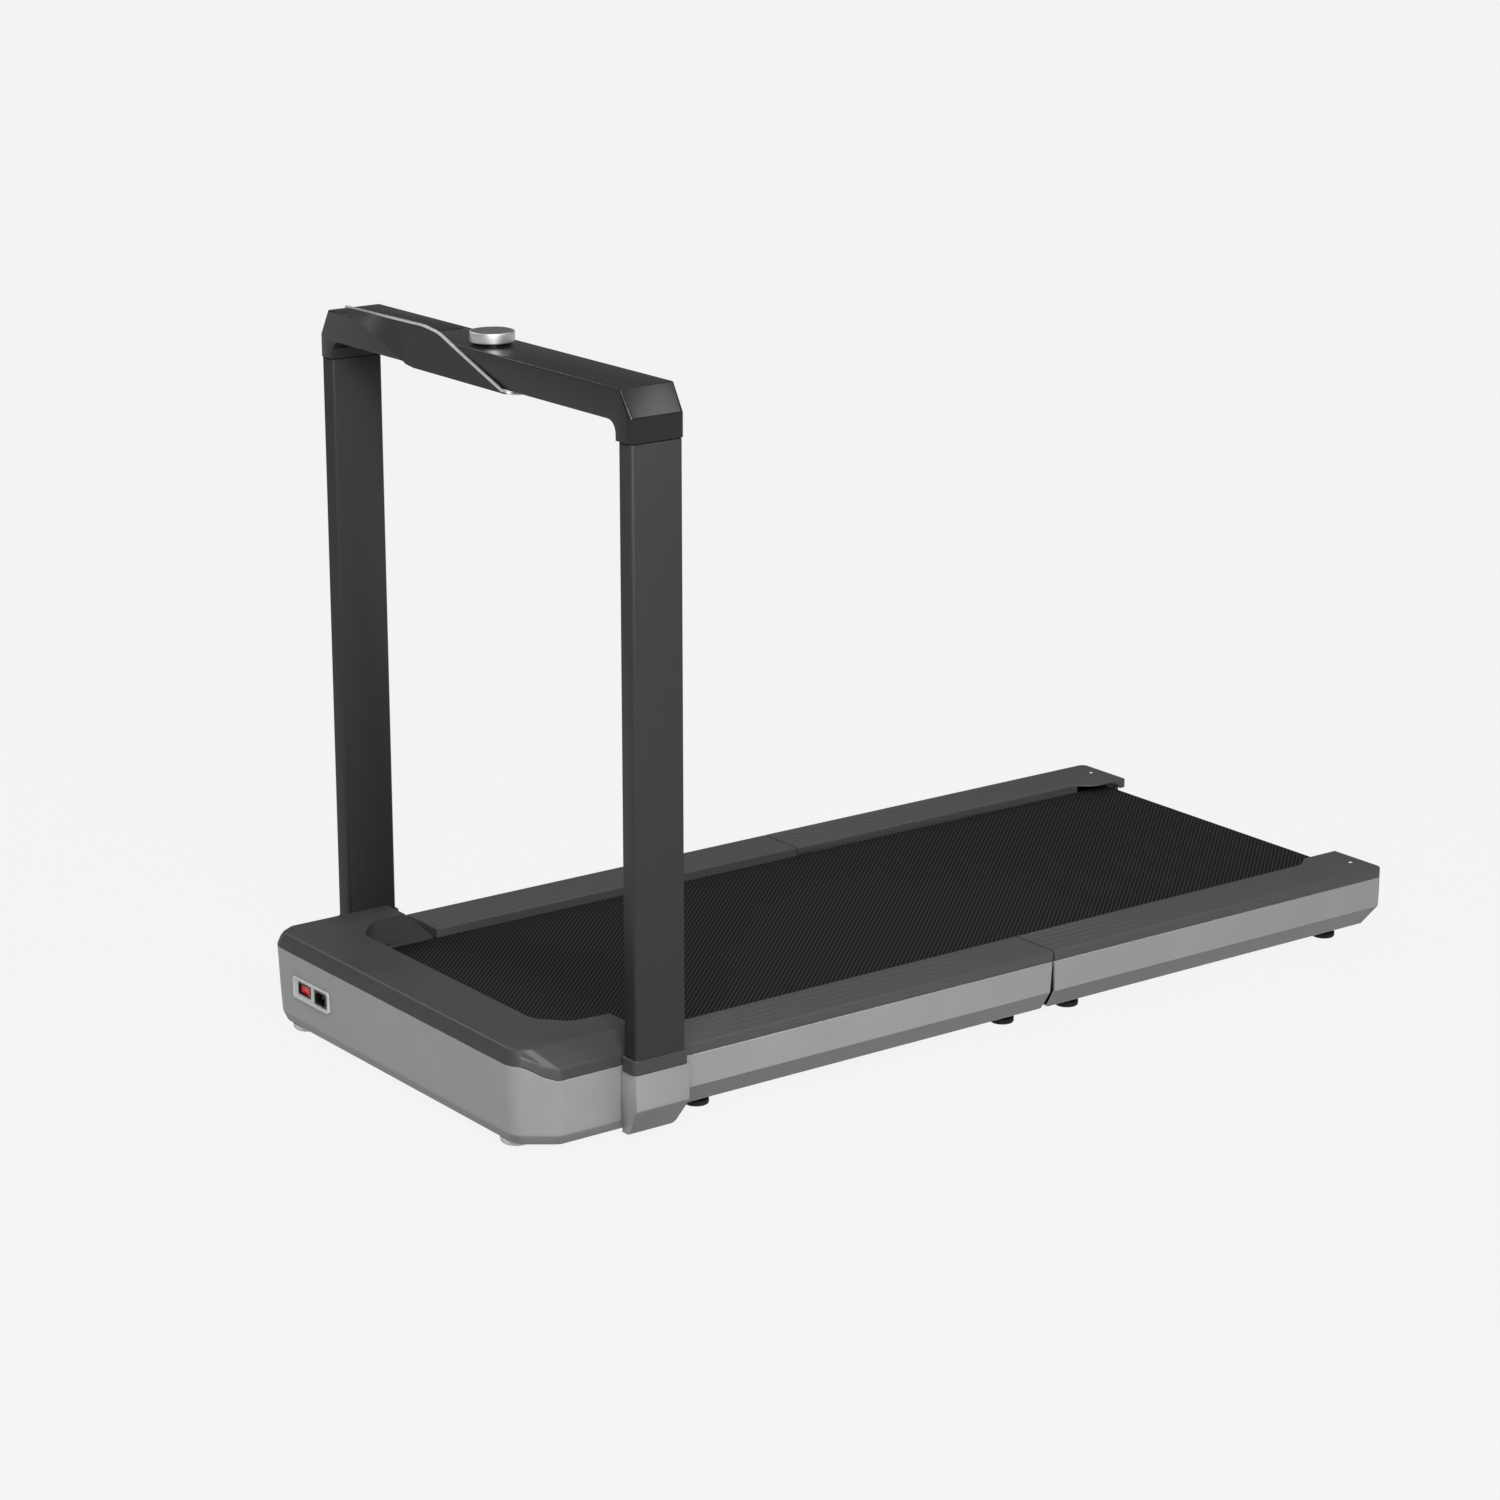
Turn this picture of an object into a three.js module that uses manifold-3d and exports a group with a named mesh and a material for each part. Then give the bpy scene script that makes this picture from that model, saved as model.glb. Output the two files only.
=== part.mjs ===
// Folding walking-pad treadmill with a fold-down handrail.
// Millimetres, +Z up. X runs across the machine, Y from the motor end (-Y) to the rear end (+Y).
// Inside the machine group, y is counted from the front face of the motor base; the group is then
// moved so that the origin is on the floor under the middle of the whole machine.
import * as THREE from "three";
import { mergeVertices } from "three/addons/utils/BufferGeometryUtils.js";
import { ConvexGeometry } from "three/addons/geometries/ConvexGeometry.js";
import Module from "manifold-3d";

const wasm = await Module();
wasm.setup();

// ---------------------------------------------------------------- driving dimensions
const LENGTH = 1483.5;
const WIDTH = 723;
const FOLD_Y = 857;
const GAP = 0.3;

const RAIL = {
  outer: 329,
  inner: 249,
  top: 103,
  colourLine: 88.4,
  chamferTop: 45,
  bottom: 17,
  front: 233,
  wall: 3,
};
const BELT = { halfWidth: 243, top: 93.3, thickness: 2.2 };
const ROLLER = { radius: 19.7, frontY: 93, rearY: 1450 };
const ROLLER_Z = BELT.top - BELT.thickness - ROLLER.radius - GAP;
const WIDE_END = { inner: 230, start: 1397, full: 1422, plate: 2.2 };

const BASE = {
  rear: 229,
  floor: 9.5,
  wall: 3,
  footX: 257,
  footY: 31,
  facetSide: 51,
  facetFront: 290,
  plateauTop: 136,
  plateauHalfWidth: 296,
  plateauFront: 9,
  sideLine: 98,
  frontLine: 116,
};
const RECESS = {
  front: 91,
  halfWidth: 248,
  frontHalf: 205,
  cornerX: 243,
  cornerY: 125,
  cornerRadius: 34,
  earTop: 181,
};

const UPRIGHT = {
  inner: 332.6,
  outer: 361,
  front: 143.25,
  rear: 219.75,
  bottom: 112.8,
  top: 896.7,
  wall: 2.5,
};
const UPRIGHT_Y = (UPRIGHT.front + UPRIGHT.rear) / 2;
const PIVOT_Z = 60;
const PIN_RADIUS = 7;
const ARM = { inner: 341, outer: 356, halfDepth: 22.5, bottom: 45, top: 262 };
const SPIGOT = { clearance: 0.5, bottom: 835, top: 914 };
const BAR = {
  front: 141.5,
  rear: 222,
  top: 962,
  underside: 921,
  capBottom: 897,
  capInner: 329.7,
  fillet: 16,
  wall: 3,
  edge: 7,
};

const KNOB = { radius: 29, neckRadius: 24, bottom: 965.5, top: 979.2, buttonRadius: 26.2 };
const MOTOR = { y: 44.5, z: 66, radius: 25, left: 70, right: 247 };
const PULLEY = { left: 284, right: 294, motorRadius: 11, rollerRadius: 24 };
const WHEEL = { x: 190, y: 45, z: 17, radius: 13, halfWidth: 9 };

// ---------------------------------------------------------------- materials
const finish = (colour, roughness, metalness) => ({ colour, roughness, metalness });
const SILVER_PAINT = finish(0x9a9a9a, 0.42, 0.35);
const DARK_PLASTIC = finish(0x4c4c4c, 0.48, 0.1);
const DARK_ALUMINIUM = finish(0x454545, 0.42, 0.4);
const BELT_RUBBER = finish(0x161616, 0.75, 0);
const BLACK_RUBBER = finish(0x181818, 0.8, 0);
const BLACK_PLASTIC = finish(0x101010, 0.35, 0);
const PALE_PLASTIC = finish(0xb4b4b2, 0.55, 0);
const STEEL = finish(0x8c9094, 0.35, 0.9);
const BLACK_STEEL = finish(0x2a2a2b, 0.5, 0.6);
const BRUSHED_METAL = finish(0xb9bbbd, 0.28, 1);
const TRIM_METAL = finish(0xa6a7a8, 0.3, 0.8);
const RED_PLASTIC = finish(0xd40d12, 0.3, 0);
const BOARD = finish(0x6b5237, 0.8, 0);
const MOTOR_PAINT = finish(0x3a3d40, 0.45, 0.6);

// ---------------------------------------------------------------- solids
function manifoldOf(positions, triangles) {
  return new wasm.Manifold(new wasm.Mesh({ numProp: 3, vertProperties: positions, triVerts: triangles }));
}

function solid(geometry) {
  const loose = geometry.index ? geometry.toNonIndexed() : geometry.clone();
  const bare = new THREE.BufferGeometry().setAttribute("position", loose.getAttribute("position"));
  const merged = mergeVertices(bare, 1e-4);
  const positions = merged.attributes.position.array;
  const triangles = new Uint32Array(merged.index.array);
  const made = manifoldOf(positions, triangles);
  if (made.volume() >= 0) {
    return made;
  }
  return manifoldOf(positions, triangles.reverse());
}

function geometryOf(shape) {
  const mesh = shape.getMesh();
  const positions = new Float32Array(mesh.numVert * 3);
  for (let i = 0; i < mesh.numVert; i++) {
    positions.set(mesh.vertProperties.subarray(i * mesh.numProp, i * mesh.numProp + 3), i * 3);
  }
  const indexed = new THREE.BufferGeometry();
  indexed.setAttribute("position", new THREE.BufferAttribute(positions, 3));
  indexed.setIndex(new THREE.BufferAttribute(mesh.triVerts, 1));
  const flat = indexed.toNonIndexed();
  flat.computeVertexNormals();
  return flat;
}

const join = (...shapes) => shapes.reduce((all, shape) => all.add(shape));
const cut = (shape, ...tools) => tools.reduce((left, tool) => left.subtract(tool), shape);
const common = (...shapes) => shapes.reduce((all, shape) => all.intersect(shape));
const biggest = (shape) => shape.decompose().sort((a, b) => b.volume() - a.volume())[0];

function box([x0, x1], [y0, y1], [z0, z1]) {
  const geometry = new THREE.BoxGeometry(Math.abs(x1 - x0), y1 - y0, z1 - z0);
  return solid(geometry.translate((x0 + x1) / 2, (y0 + y1) / 2, (z0 + z1) / 2));
}

// A closed outline whose corners [a, b, radius] are rounded by arcs.
function outline(corners, arcSteps = 4) {
  const points = [];
  corners.forEach(([x, y, radius = 0], i) => {
    const corner = new THREE.Vector2(x, y);
    const before = corners[(i + corners.length - 1) % corners.length];
    const after = corners[(i + 1) % corners.length];
    const back = new THREE.Vector2(before[0] - x, before[1] - y).normalize();
    const on = new THREE.Vector2(after[0] - x, after[1] - y).normalize();
    if (radius === 0) {
      points.push(corner);
      return;
    }
    const half = Math.acos(back.dot(on)) / 2;
    const centre = back.clone().add(on).normalize().multiplyScalar(radius / Math.sin(half)).add(corner);
    const start = back.multiplyScalar(radius / Math.tan(half)).add(corner).sub(centre);
    const end = on.multiplyScalar(radius / Math.tan(half)).add(corner).sub(centre);
    const sweep = Math.PI - 2 * half;
    for (let step = 0; step <= arcSteps; step++) {
      const turn = (step / arcSteps) * sweep;
      const arm = start.clone().multiplyScalar(Math.sin(sweep - turn) / Math.sin(sweep));
      points.push(arm.addScaledVector(end, Math.sin(turn) / Math.sin(sweep)).add(centre));
    }
  });
  return points;
}

// An outline swept in a straight line along one axis: (y, z) along x, (x, z) along y, (x, y) along z.
function prism(axis, corners, [from, to], arcSteps) {
  const shape = new THREE.Shape(outline(corners, arcSteps));
  const geometry = new THREE.ExtrudeGeometry(shape, { depth: to - from, bevelEnabled: false });
  if (axis === "x") {
    geometry.applyMatrix4(new THREE.Matrix4().set(0, 0, 1, from, 1, 0, 0, 0, 0, 1, 0, 0, 0, 0, 0, 1));
  } else if (axis === "y") {
    geometry.rotateX(Math.PI / 2).translate(0, to, 0);
  } else {
    geometry.translate(0, 0, from);
  }
  return solid(geometry);
}

function rod(axis, radius, [from, to], [a, b], sides = 32) {
  const middle = (from + to) / 2;
  const geometry = new THREE.CylinderGeometry(radius, radius, to - from, sides);
  if (axis === "x") {
    return solid(geometry.rotateZ(Math.PI / 2).translate(middle, a, b));
  }
  return solid(geometry.rotateX(Math.PI / 2).translate(a, b, middle));
}

// A turned piece: profile [radius, height] pairs from axis to axis, height along +Z or +X.
function turned(axis, profile, [x, y, z], sides = 40) {
  const geometry = new THREE.LatheGeometry(profile.map(([r, h]) => new THREE.Vector2(r, h)), sides);
  if (axis === "x") {
    geometry.rotateZ(-Math.PI / 2);
  } else {
    geometry.rotateX(Math.PI / 2);
  }
  return solid(geometry.translate(x, y, z));
}

// A closed skin through rings of equal count, the first ring lowest, each anticlockwise from above.
function loft(rings) {
  const count = rings[0].length;
  const positions = new Float32Array(rings.flat(2));
  const triangles = [];
  for (let level = 0; level + 1 < rings.length; level++) {
    for (let i = 0; i < count; i++) {
      const a = level * count + i;
      const b = level * count + ((i + 1) % count);
      triangles.push(a, b, b + count, a, b + count, a + count);
    }
  }
  const cap = (ring) => THREE.ShapeUtils.triangulateShape(ring.map(([x, y]) => new THREE.Vector2(x, y)), []);
  const top = (rings.length - 1) * count;
  cap(rings[0]).forEach(([a, b, c]) => triangles.push(a, c, b));
  cap(rings.at(-1)).forEach(([a, b, c]) => triangles.push(top + a, top + b, top + c));
  return manifoldOf(positions, new Uint32Array(triangles));
}

const hull = (points) => solid(new ConvexGeometry(points));

// The same solid on the other side of the machine.
function mirrored(shape) {
  return shape.mirror([1, 0, 0]);
}

// ---------------------------------------------------------------- scene graph
const treadmill = new THREE.Group();
const machine = new THREE.Group();
machine.position.y = -LENGTH / 2;
treadmill.add(machine);

function assembly(parent) {
  const group = new THREE.Group();
  parent.add(group);
  return group;
}

function add(group, name, shape, look) {
  const material = new THREE.MeshStandardMaterial({
    color: look.colour,
    roughness: look.roughness,
    metalness: look.metalness,
  });
  const mesh = new THREE.Mesh(geometryOf(shape), material);
  mesh.name = name;
  group.add(mesh);
}

function addPair(group, name, rightShape, look) {
  add(group, name + "_right", rightShape, look);
  add(group, name + "_left", mirrored(rightShape), look);
}

// ---------------------------------------------------------------- motor base
// Height of the line where the silver shell meets the dark cover: low beside the deck, high in front.
function colourLineAt(y) {
  const rise = THREE.MathUtils.smoothstep(-y, 4 - BASE.facetSide, -8);
  return BASE.sideLine + (BASE.frontLine - BASE.sideLine) * rise;
}

// The base seen from above, drawn in by an inset, with chamfered front corners.
function basePlan(inset) {
  const side = RAIL.outer - inset;
  const front = inset;
  const rear = BASE.rear - Math.min(inset, BASE.wall);
  const right = [
    [side, rear],
    [side, BASE.facetSide + inset * 0.4, 14],
    [BASE.facetFront - inset * 0.4, front + 0.6, 30],
  ];
  const left = right.map(([x, ...rest]) => [-x, ...rest]);
  return outline([...left, ...right.reverse()], 5);
}

function baseRing(inset, heightAt) {
  return basePlan(inset).map(({ x, y }) => [x, y, heightAt(y)]);
}

function baseLowerShell() {
  const outside = loft([
    baseRing(10, () => BASE.floor),
    baseRing(4.6, () => BASE.floor + 13),
    baseRing(0, colourLineAt),
  ]);
  const inside = loft([
    baseRing(12, () => BASE.floor + BASE.wall),
    baseRing(4.6 + BASE.wall, () => BASE.floor + 15),
    baseRing(BASE.wall, () => 90),
    baseRing(BASE.wall, () => 160),
  ]);
  const rearOpening = box([-300, 300], [220, 240], [32, 130]);
  const plateOpening = box([-243.6, -150.4], [-5, 12], [55.4, 86.6]);
  let shell = cut(outside, inside, rearOpening, plateOpening);
  for (const side of [-1, 1]) {
    const cheekX = [side * (WHEEL.x - 16), side * (WHEEL.x + 16)].sort((a, b) => a - b);
    const slotX = [side * (WHEEL.x - 10.5), side * (WHEEL.x + 10.5)].sort((a, b) => a - b);
    const cheeks = box(cheekX, [WHEEL.y - 17, WHEEL.y + 17], [BASE.floor, 27]);
    const slot = box(slotX, [WHEEL.y - 15, WHEEL.y + 15], [0, 40]);
    const axleBore = rod("x", 3.3, [cheekX[0] - 1, cheekX[1] + 1], [WHEEL.y, WHEEL.z], 24);
    const pinX = [side * 320, side * 335].sort((a, b) => a - b);
    const pinBore = rod("x", PIN_RADIUS + 0.5, pinX, [UPRIGHT_Y, PIVOT_Z]);
    shell = cut(join(shell, cheeks), slot, axleBore, pinBore);
  }
  return shell;
}

function baseTopCover() {
  const shelfEdge = (y) => Math.max(112, colourLineAt(y) + 11);
  const bottom = baseRing(0, (y) => colourLineAt(y) + GAP);
  const shelf = baseRing(4, shelfEdge);
  const { plateauHalfWidth, plateauFront, plateauTop } = BASE;
  const plateauRight = [
    [plateauHalfWidth, BASE.rear],
    [plateauHalfWidth, plateauFront + 21, 16],
    [plateauHalfWidth - 14, plateauFront, 16],
  ];
  const plateauLeft = plateauRight.map(([x, ...rest]) => [-x, ...rest]);
  const plateauPlan = outline([...plateauLeft, ...plateauRight.reverse()], 5);
  const plateau = plateauPlan.map(({ x, y }) => [x, y, plateauTop]);
  const block = loft([bottom, shelf, plateau]);

  const recessRight = [
    [RECESS.frontHalf, RECESS.front, RECESS.cornerRadius],
    [RECESS.cornerX, RECESS.cornerY, RECESS.cornerRadius],
    [RECESS.halfWidth, RECESS.earTop],
    [RECESS.halfWidth, 260],
  ];
  const recessLeft = recessRight.map(([x, ...rest]) => [-x, ...rest]).reverse();
  const recess = prism("z", [...recessRight, ...recessLeft], [60, 150]);
  const rearSlope = prism("x", [
    [RECESS.earTop, BASE.plateauTop],
    [RECESS.earTop, 160],
    [240, 160],
    [240, 70],
    [227, 93],
  ], [-340, 340]);

  const noseCavity = box([-280, 280], [14, 86], [80, 132.5]);
  let cover = block;
  for (const side of [-1, 1]) {
    const span = (a, b) => [side * a, side * b].sort((p, q) => p - q);
    const earWall = box(span(RECESS.halfWidth, RECESS.halfWidth + 3.5), [130, 226], [86, 120]);
    const earCavity = box(span(253, 283), [80, 172], [80, 130.5]);
    const shelfCavity = box(span(253, 319), [60, 200], [80, 107]);
    cover = cut(join(cover, earWall), earCavity, shelfCavity);
  }
  return cut(cover, noseCavity, recess, rearSlope);
}

// A light grey glide foot: a short drum with a rounded sole.
function baseFoot(x) {
  const top = BASE.floor - GAP;
  return turned("z", [[0, 0], [16, 0], [20, 2.5], [21, 6], [21, top], [0, top]], [x, BASE.footY, 0], 32);
}

function transportWheel(side) {
  const { radius, halfWidth } = WHEEL;
  const profile = [
    [0, -15],
    [3, -15],
    [3, -halfWidth],
    [radius - 2, -halfWidth],
    [radius, -halfWidth + 2],
    [radius, halfWidth - 2],
    [radius - 2, halfWidth],
    [3, halfWidth],
    [3, 15],
    [0, 15],
  ];
  return turned("x", profile, [side * WHEEL.x, WHEEL.y, WHEEL.z], 28);
}

// Power entry: a plate with a rocker switch and a three-pin inlet.
const ENTRY = { left: -243, right: -151, bottom: 56, top: 86, face: 0.1 };
const SWITCH = { left: -228.3, right: -197.1, bottom: 64.5, top: 81 };
const INLET = { left: -186.5, right: -155.9, bottom: 62, top: 82.7 };

function frameOf({ left, right, bottom, top }, grow, depth) {
  return box([left - grow, right + grow], depth, [bottom - grow, top + grow]);
}

function entryPlate() {
  const plate = prism("y", [
    [ENTRY.left, ENTRY.bottom, 4],
    [ENTRY.right, ENTRY.bottom, 4],
    [ENTRY.right, ENTRY.top, 4],
    [ENTRY.left, ENTRY.top, 4],
  ], [ENTRY.face, 5]);
  return cut(plate, frameOf(SWITCH, GAP, [-5, 20]), frameOf(INLET, GAP, [-5, 20]));
}

function switchBody() {
  const well = frameOf(SWITCH, -1.6, [-5, 15]);
  return cut(frameOf(SWITCH, 0, [0, 22]), well);
}

const ROCKER = {
  x: (SWITCH.left + SWITCH.right) / 2,
  y: 9.8,
  z: (SWITCH.bottom + SWITCH.top) / 2,
  halfAngle: 6,
};

// The rocker is drawn about its own pivot and rests tipped to one side.
function rocker() {
  const halfWidth = 13.2;
  const shape = prism("z", [
    [-halfWidth, -8.4, 1],
    [0, -6.9],
    [halfWidth, -8.4, 1],
    [halfWidth - 1, -2],
    [3, 4],
    [-3, 4],
    [1 - halfWidth, -2],
  ], [-6.2, 6.2]);
  return shape.rotate([0, 0, -ROCKER.halfAngle]).translate([ROCKER.x, ROCKER.y, ROCKER.z]);
}

function powerInlet() {
  const middleX = (INLET.left + INLET.right) / 2;
  const middleZ = (INLET.bottom + INLET.top) / 2;
  const well = prism("y", [
    [INLET.left + 2.8, INLET.bottom + 2.5, 1.5],
    [INLET.right - 2.8, INLET.bottom + 2.5, 1.5],
    [INLET.right - 2.8, INLET.top - 6, 1],
    [INLET.right - 7, INLET.top - 2.5, 1],
    [INLET.left + 7, INLET.top - 2.5, 1],
    [INLET.left + 2.8, INLET.top - 6, 1],
  ], [-5, 19], 2);
  const blade = (across, up) => {
    const x = middleX + across;
    const z = middleZ + up;
    return box([x - 1, x + 1], [8, 20], [z - 2, z + 2]);
  };
  return join(cut(frameOf(INLET, 0, [0, 24]), well), blade(-7, -2), blade(0, 2), blade(7, -2));
}

// ---------------------------------------------------------------- drive
function motor() {
  const { left, right, radius } = MOTOR;
  const profile = [
    [0, left],
    [radius - 5, left],
    [radius, left + 5],
    [radius, right - 5],
    [radius - 5, right],
    [0, right],
  ];
  const can = turned("x", profile, [0, MOTOR.y, MOTOR.z], 36);
  const foot = box([left + 30, right - 30], [MOTOR.y - 20, MOTOR.y + 20], [BASE.floor + BASE.wall + GAP, 50]);
  const wheelRoom = box([WHEEL.x - 20, WHEEL.x + 20], [0, 90], [0, 33]);
  return cut(join(can, foot), wheelRoom);
}

function motorPulley() {
  const shaft = [[0, MOTOR.right + GAP], [5, MOTOR.right + GAP], [5, PULLEY.left]];
  const rim = [[PULLEY.motorRadius, PULLEY.left], [PULLEY.motorRadius, PULLEY.right], [0, PULLEY.right]];
  return turned("x", [...shaft, ...rim], [0, MOTOR.y, MOTOR.z], 28);
}

// Grooved belt round the two pulleys: the outer tangent loop less the same loop drawn in.
function driveBelt() {
  const ends = [
    { y: MOTOR.y, z: MOTOR.z, radius: PULLEY.motorRadius },
    { y: ROLLER.frontY, z: ROLLER_Z, radius: PULLEY.rollerRadius },
  ];
  const loop = (grow, width) => {
    const points = [];
    for (const { y, z, radius } of ends) {
      for (let i = 0; i < 32; i++) {
        const angle = (i / 32) * 2 * Math.PI;
        for (const x of width) {
          points.push(new THREE.Vector3(
            x,
            y + (radius + grow) * Math.cos(angle),
            z + (radius + grow) * Math.sin(angle),
          ));
        }
      }
    }
    return hull(points);
  };
  return cut(loop(2.4, [PULLEY.left + 1, PULLEY.right - 1]), loop(0.5, [PULLEY.left, PULLEY.right]));
}

function controllerBox() {
  return box([-140, 40], [14, 64], [BASE.floor + BASE.wall + GAP, 104]);
}

// A steel tube on a through shaft: the space between them opens through one vent in an end plug.
function roller(y, leftEnd, rightEnd, shaftRadius) {
  const half = BELT.halfWidth - 2;
  const space = [
    [shaftRadius, -half + 8],
    [ROLLER.radius - 3, -half + 8],
    [ROLLER.radius - 3, half - 8],
    [shaftRadius, half - 8],
    [shaftRadius, -half + 8],
  ];
  const vent = rod("x", 2, [half - 10, half + 5], [y, ROLLER_Z + 11], 8);
  const drum = turned("x", [
    [0, leftEnd],
    [shaftRadius, leftEnd],
    [shaftRadius, -half],
    [ROLLER.radius - 1, -half],
    [ROLLER.radius, -half + 1],
    [ROLLER.radius, half - 1],
    [ROLLER.radius - 1, half],
    [shaftRadius, half],
    [shaftRadius, rightEnd],
    [0, rightEnd],
  ], [0, y, ROLLER_Z], 36);
  return cut(drum, turned("x", space, [0, y, ROLLER_Z], 24), vent);
}

function rollerPulley() {
  const { left, right, rollerRadius } = PULLEY;
  const disc = rod("x", rollerRadius, [left, right], [ROLLER.frontY, ROLLER_Z], 40);
  return cut(disc, rod("x", 6.3, [left - 1, right + 1], [ROLLER.frontY, ROLLER_Z], 24));
}

// ---------------------------------------------------------------- deck
const FRAME = { inner: 252.5, outer: 282, wall: 3, bottom: 35, top: 84, crossBottom: 54, crossTop: 75.7 };
const BOARD_SIZE = { halfWidth: 247, bottom: 76, top: 90.8 };

function deckFrame(from, to, crossAt) {
  const { inner, outer, bottom, top, wall } = FRAME;
  const pocket = box([inner + wall, outer + 1], [from - 1, to + 1], [bottom + wall, top - wall]);
  const channel = cut(box([inner, outer], [from, to], [bottom, top]), pocket);
  let frame = join(channel, mirrored(channel));
  for (const y of crossAt) {
    frame = join(frame, box([-inner - 1, inner + 1], [y - 15, y + 15], [FRAME.crossBottom, FRAME.crossTop]));
  }
  return frame;
}

// A hinge leaf on the outside of a frame channel, tallest at the fold.
function hingeLeaf(foldEnd, farEnd) {
  const from = Math.min(foldEnd, farEnd);
  const to = Math.max(foldEnd, farEnd);
  const tab = box([FRAME.inner + 1, FRAME.outer + 8], [from, to], [FRAME.bottom, FRAME.top]);
  const plate = prism("x", [
    [from, 52],
    [to, 52],
    [to, to === foldEnd ? 99 : 90],
    [from, from === foldEnd ? 99 : 90],
  ], [FRAME.outer, FRAME.outer + 8]);
  return join(tab, plate);
}

function frontFrame() {
  let frame = deckFrame(62, FOLD_Y - 9, [150, 380, 610, 830]);
  const outrigger = box([FRAME.inner + 1, 318], [UPRIGHT_Y - 24, UPRIGHT_Y + 24], [36, 83]);
  const pinBore = rod("x", PIN_RADIUS + GAP, [288, 330], [UPRIGHT_Y, PIVOT_Z]);
  const ear = cut(outrigger, pinBore);
  const leaf = hingeLeaf(FOLD_Y - 10, FOLD_Y - 50);
  frame = join(frame, ear, mirrored(ear), leaf, mirrored(leaf));
  return cut(frame, rod("x", 6.3, [-300, 300], [ROLLER.frontY, ROLLER_Z], 24));
}

function rearFrame() {
  const leaf = hingeLeaf(FOLD_Y + 10, FOLD_Y + 50);
  return join(deckFrame(FOLD_Y + 9, 1424, [884, 1110, 1390]), leaf, mirrored(leaf));
}

function deckBoard(from, to) {
  const { halfWidth, bottom, top } = BOARD_SIZE;
  return box([-halfWidth, halfWidth], [from, to], [bottom, top]);
}

// One half of the running belt: its two runs and the turn round one roller.
function beltHalf(rollerY, endY) {
  const outer = ROLLER.radius + GAP + BELT.thickness;
  const inner = ROLLER.radius + GAP;
  const toRoller = Math.sign(rollerY - endY);
  const turn = (radius) => {
    const points = [];
    for (let step = 0; step <= 12; step++) {
      const angle = Math.PI / 2 - (step / 12) * Math.PI;
      points.push([rollerY + toRoller * radius * Math.cos(angle), ROLLER_Z + radius * Math.sin(angle)]);
    }
    return points;
  };
  const loop = [
    [endY, ROLLER_Z + outer],
    ...turn(outer),
    [endY, ROLLER_Z - outer],
    [endY, ROLLER_Z - inner],
    ...turn(inner).reverse(),
    [endY, ROLLER_Z + inner],
  ];
  return prism("x", loop, [-BELT.halfWidth, BELT.halfWidth]);
}

// Everything between two side profiles (y, z): the front rail and the rear rail lean apart at the fold.
function frontRailSide(inset) {
  return [
    [RAIL.front + inset, 0],
    [FOLD_Y - 7 - inset, 0],
    [FOLD_Y - 7 - inset, RAIL.bottom],
    [FOLD_Y - 5.5 - inset, RAIL.chamferTop],
    [FOLD_Y - 1 - inset, RAIL.top],
    [FOLD_Y - 1 - inset, 120],
    [RAIL.front + inset, 120],
  ];
}

function rearRailSide(inset) {
  return [
    [FOLD_Y + 5 + inset, 0],
    [LENGTH - 24 - inset, 0],
    [LENGTH - 24 - inset, RAIL.bottom],
    [LENGTH - 6.5 - inset, 47],
    [LENGTH - inset, RAIL.colourLine],
    [LENGTH - inset, 120],
    [FOLD_Y + 1 + inset, 120],
    [FOLD_Y + 1 + inset, RAIL.top],
    [FOLD_Y + 3.3 + inset, RAIL.chamferTop],
  ];
}

// The rail seen from above; the rear one has a rounded outer corner and a widened inner end.
function railPlan(inset) {
  return prism("z", [
    [WIDE_END.inner, WIDE_END.full, 20],
    [RAIL.inner, WIDE_END.start, 20],
    [RAIL.inner, 200],
    [RAIL.outer - inset, 200],
    [RAIL.outer - inset, LENGTH - inset, 11],
    [WIDE_END.inner, LENGTH - inset],
  ], [0, 120], 5);
}

function railSkirt(sideProfile, end) {
  const wall = RAIL.wall;
  const section = (inset) => prism("y", [
    [264 - 4 * inset, RAIL.bottom + inset],
    [312 - 0.6 * inset, RAIL.bottom + inset],
    [RAIL.outer - inset, RAIL.chamferTop + 0.4 * inset],
    [RAIL.outer - inset, RAIL.colourLine + 4 * inset],
    [264 - 4 * inset, RAIL.colourLine + 4 * inset],
  ], [0, end]);
  const outside = common(section(0), prism("x", sideProfile(0), [200, 400]), railPlan(0));
  const hollow = common(section(wall), prism("x", sideProfile(wall), [200, 400]), railPlan(wall));
  const frameRoom = box([250, FRAME.outer + GAP], [200, ROLLER.rearY], [FRAME.bottom - GAP, 120]);
  return cut(outside, hollow, frameRoom);
}

function railCover(sideProfile, from, to) {
  const { inner, outer, top, wall, colourLine } = RAIL;
  const block = prism("y", [
    [WIDE_END.inner - 1, 47],
    [inner + wall, 47],
    [inner + wall, colourLine + GAP],
    [outer, colourLine + GAP],
    [outer, top, 2.5],
    [WIDE_END.inner - 1, top],
  ], [from, to]);
  const body = common(block, prism("x", sideProfile(0), [200, 400]), railPlan(0));
  const hollow = box([inner + wall, outer - wall], [from + wall, to - wall], [0, top - wall]);
  const underLip = box([0, inner + wall + 1], [0, WIDE_END.start + 4], [0, 80]);
  const tunnel = box([0, inner + wall + 1], [WIDE_END.start + 2, ROLLER.rearY], [0, top - WIDE_END.plate]);
  const rollerRoom = rod("x", 29.7, [0, inner + wall + 1], [ROLLER.rearY, ROLLER_Z], 48);
  return cut(body, hollow, underLip, tunnel, rollerRoom);
}

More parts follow.
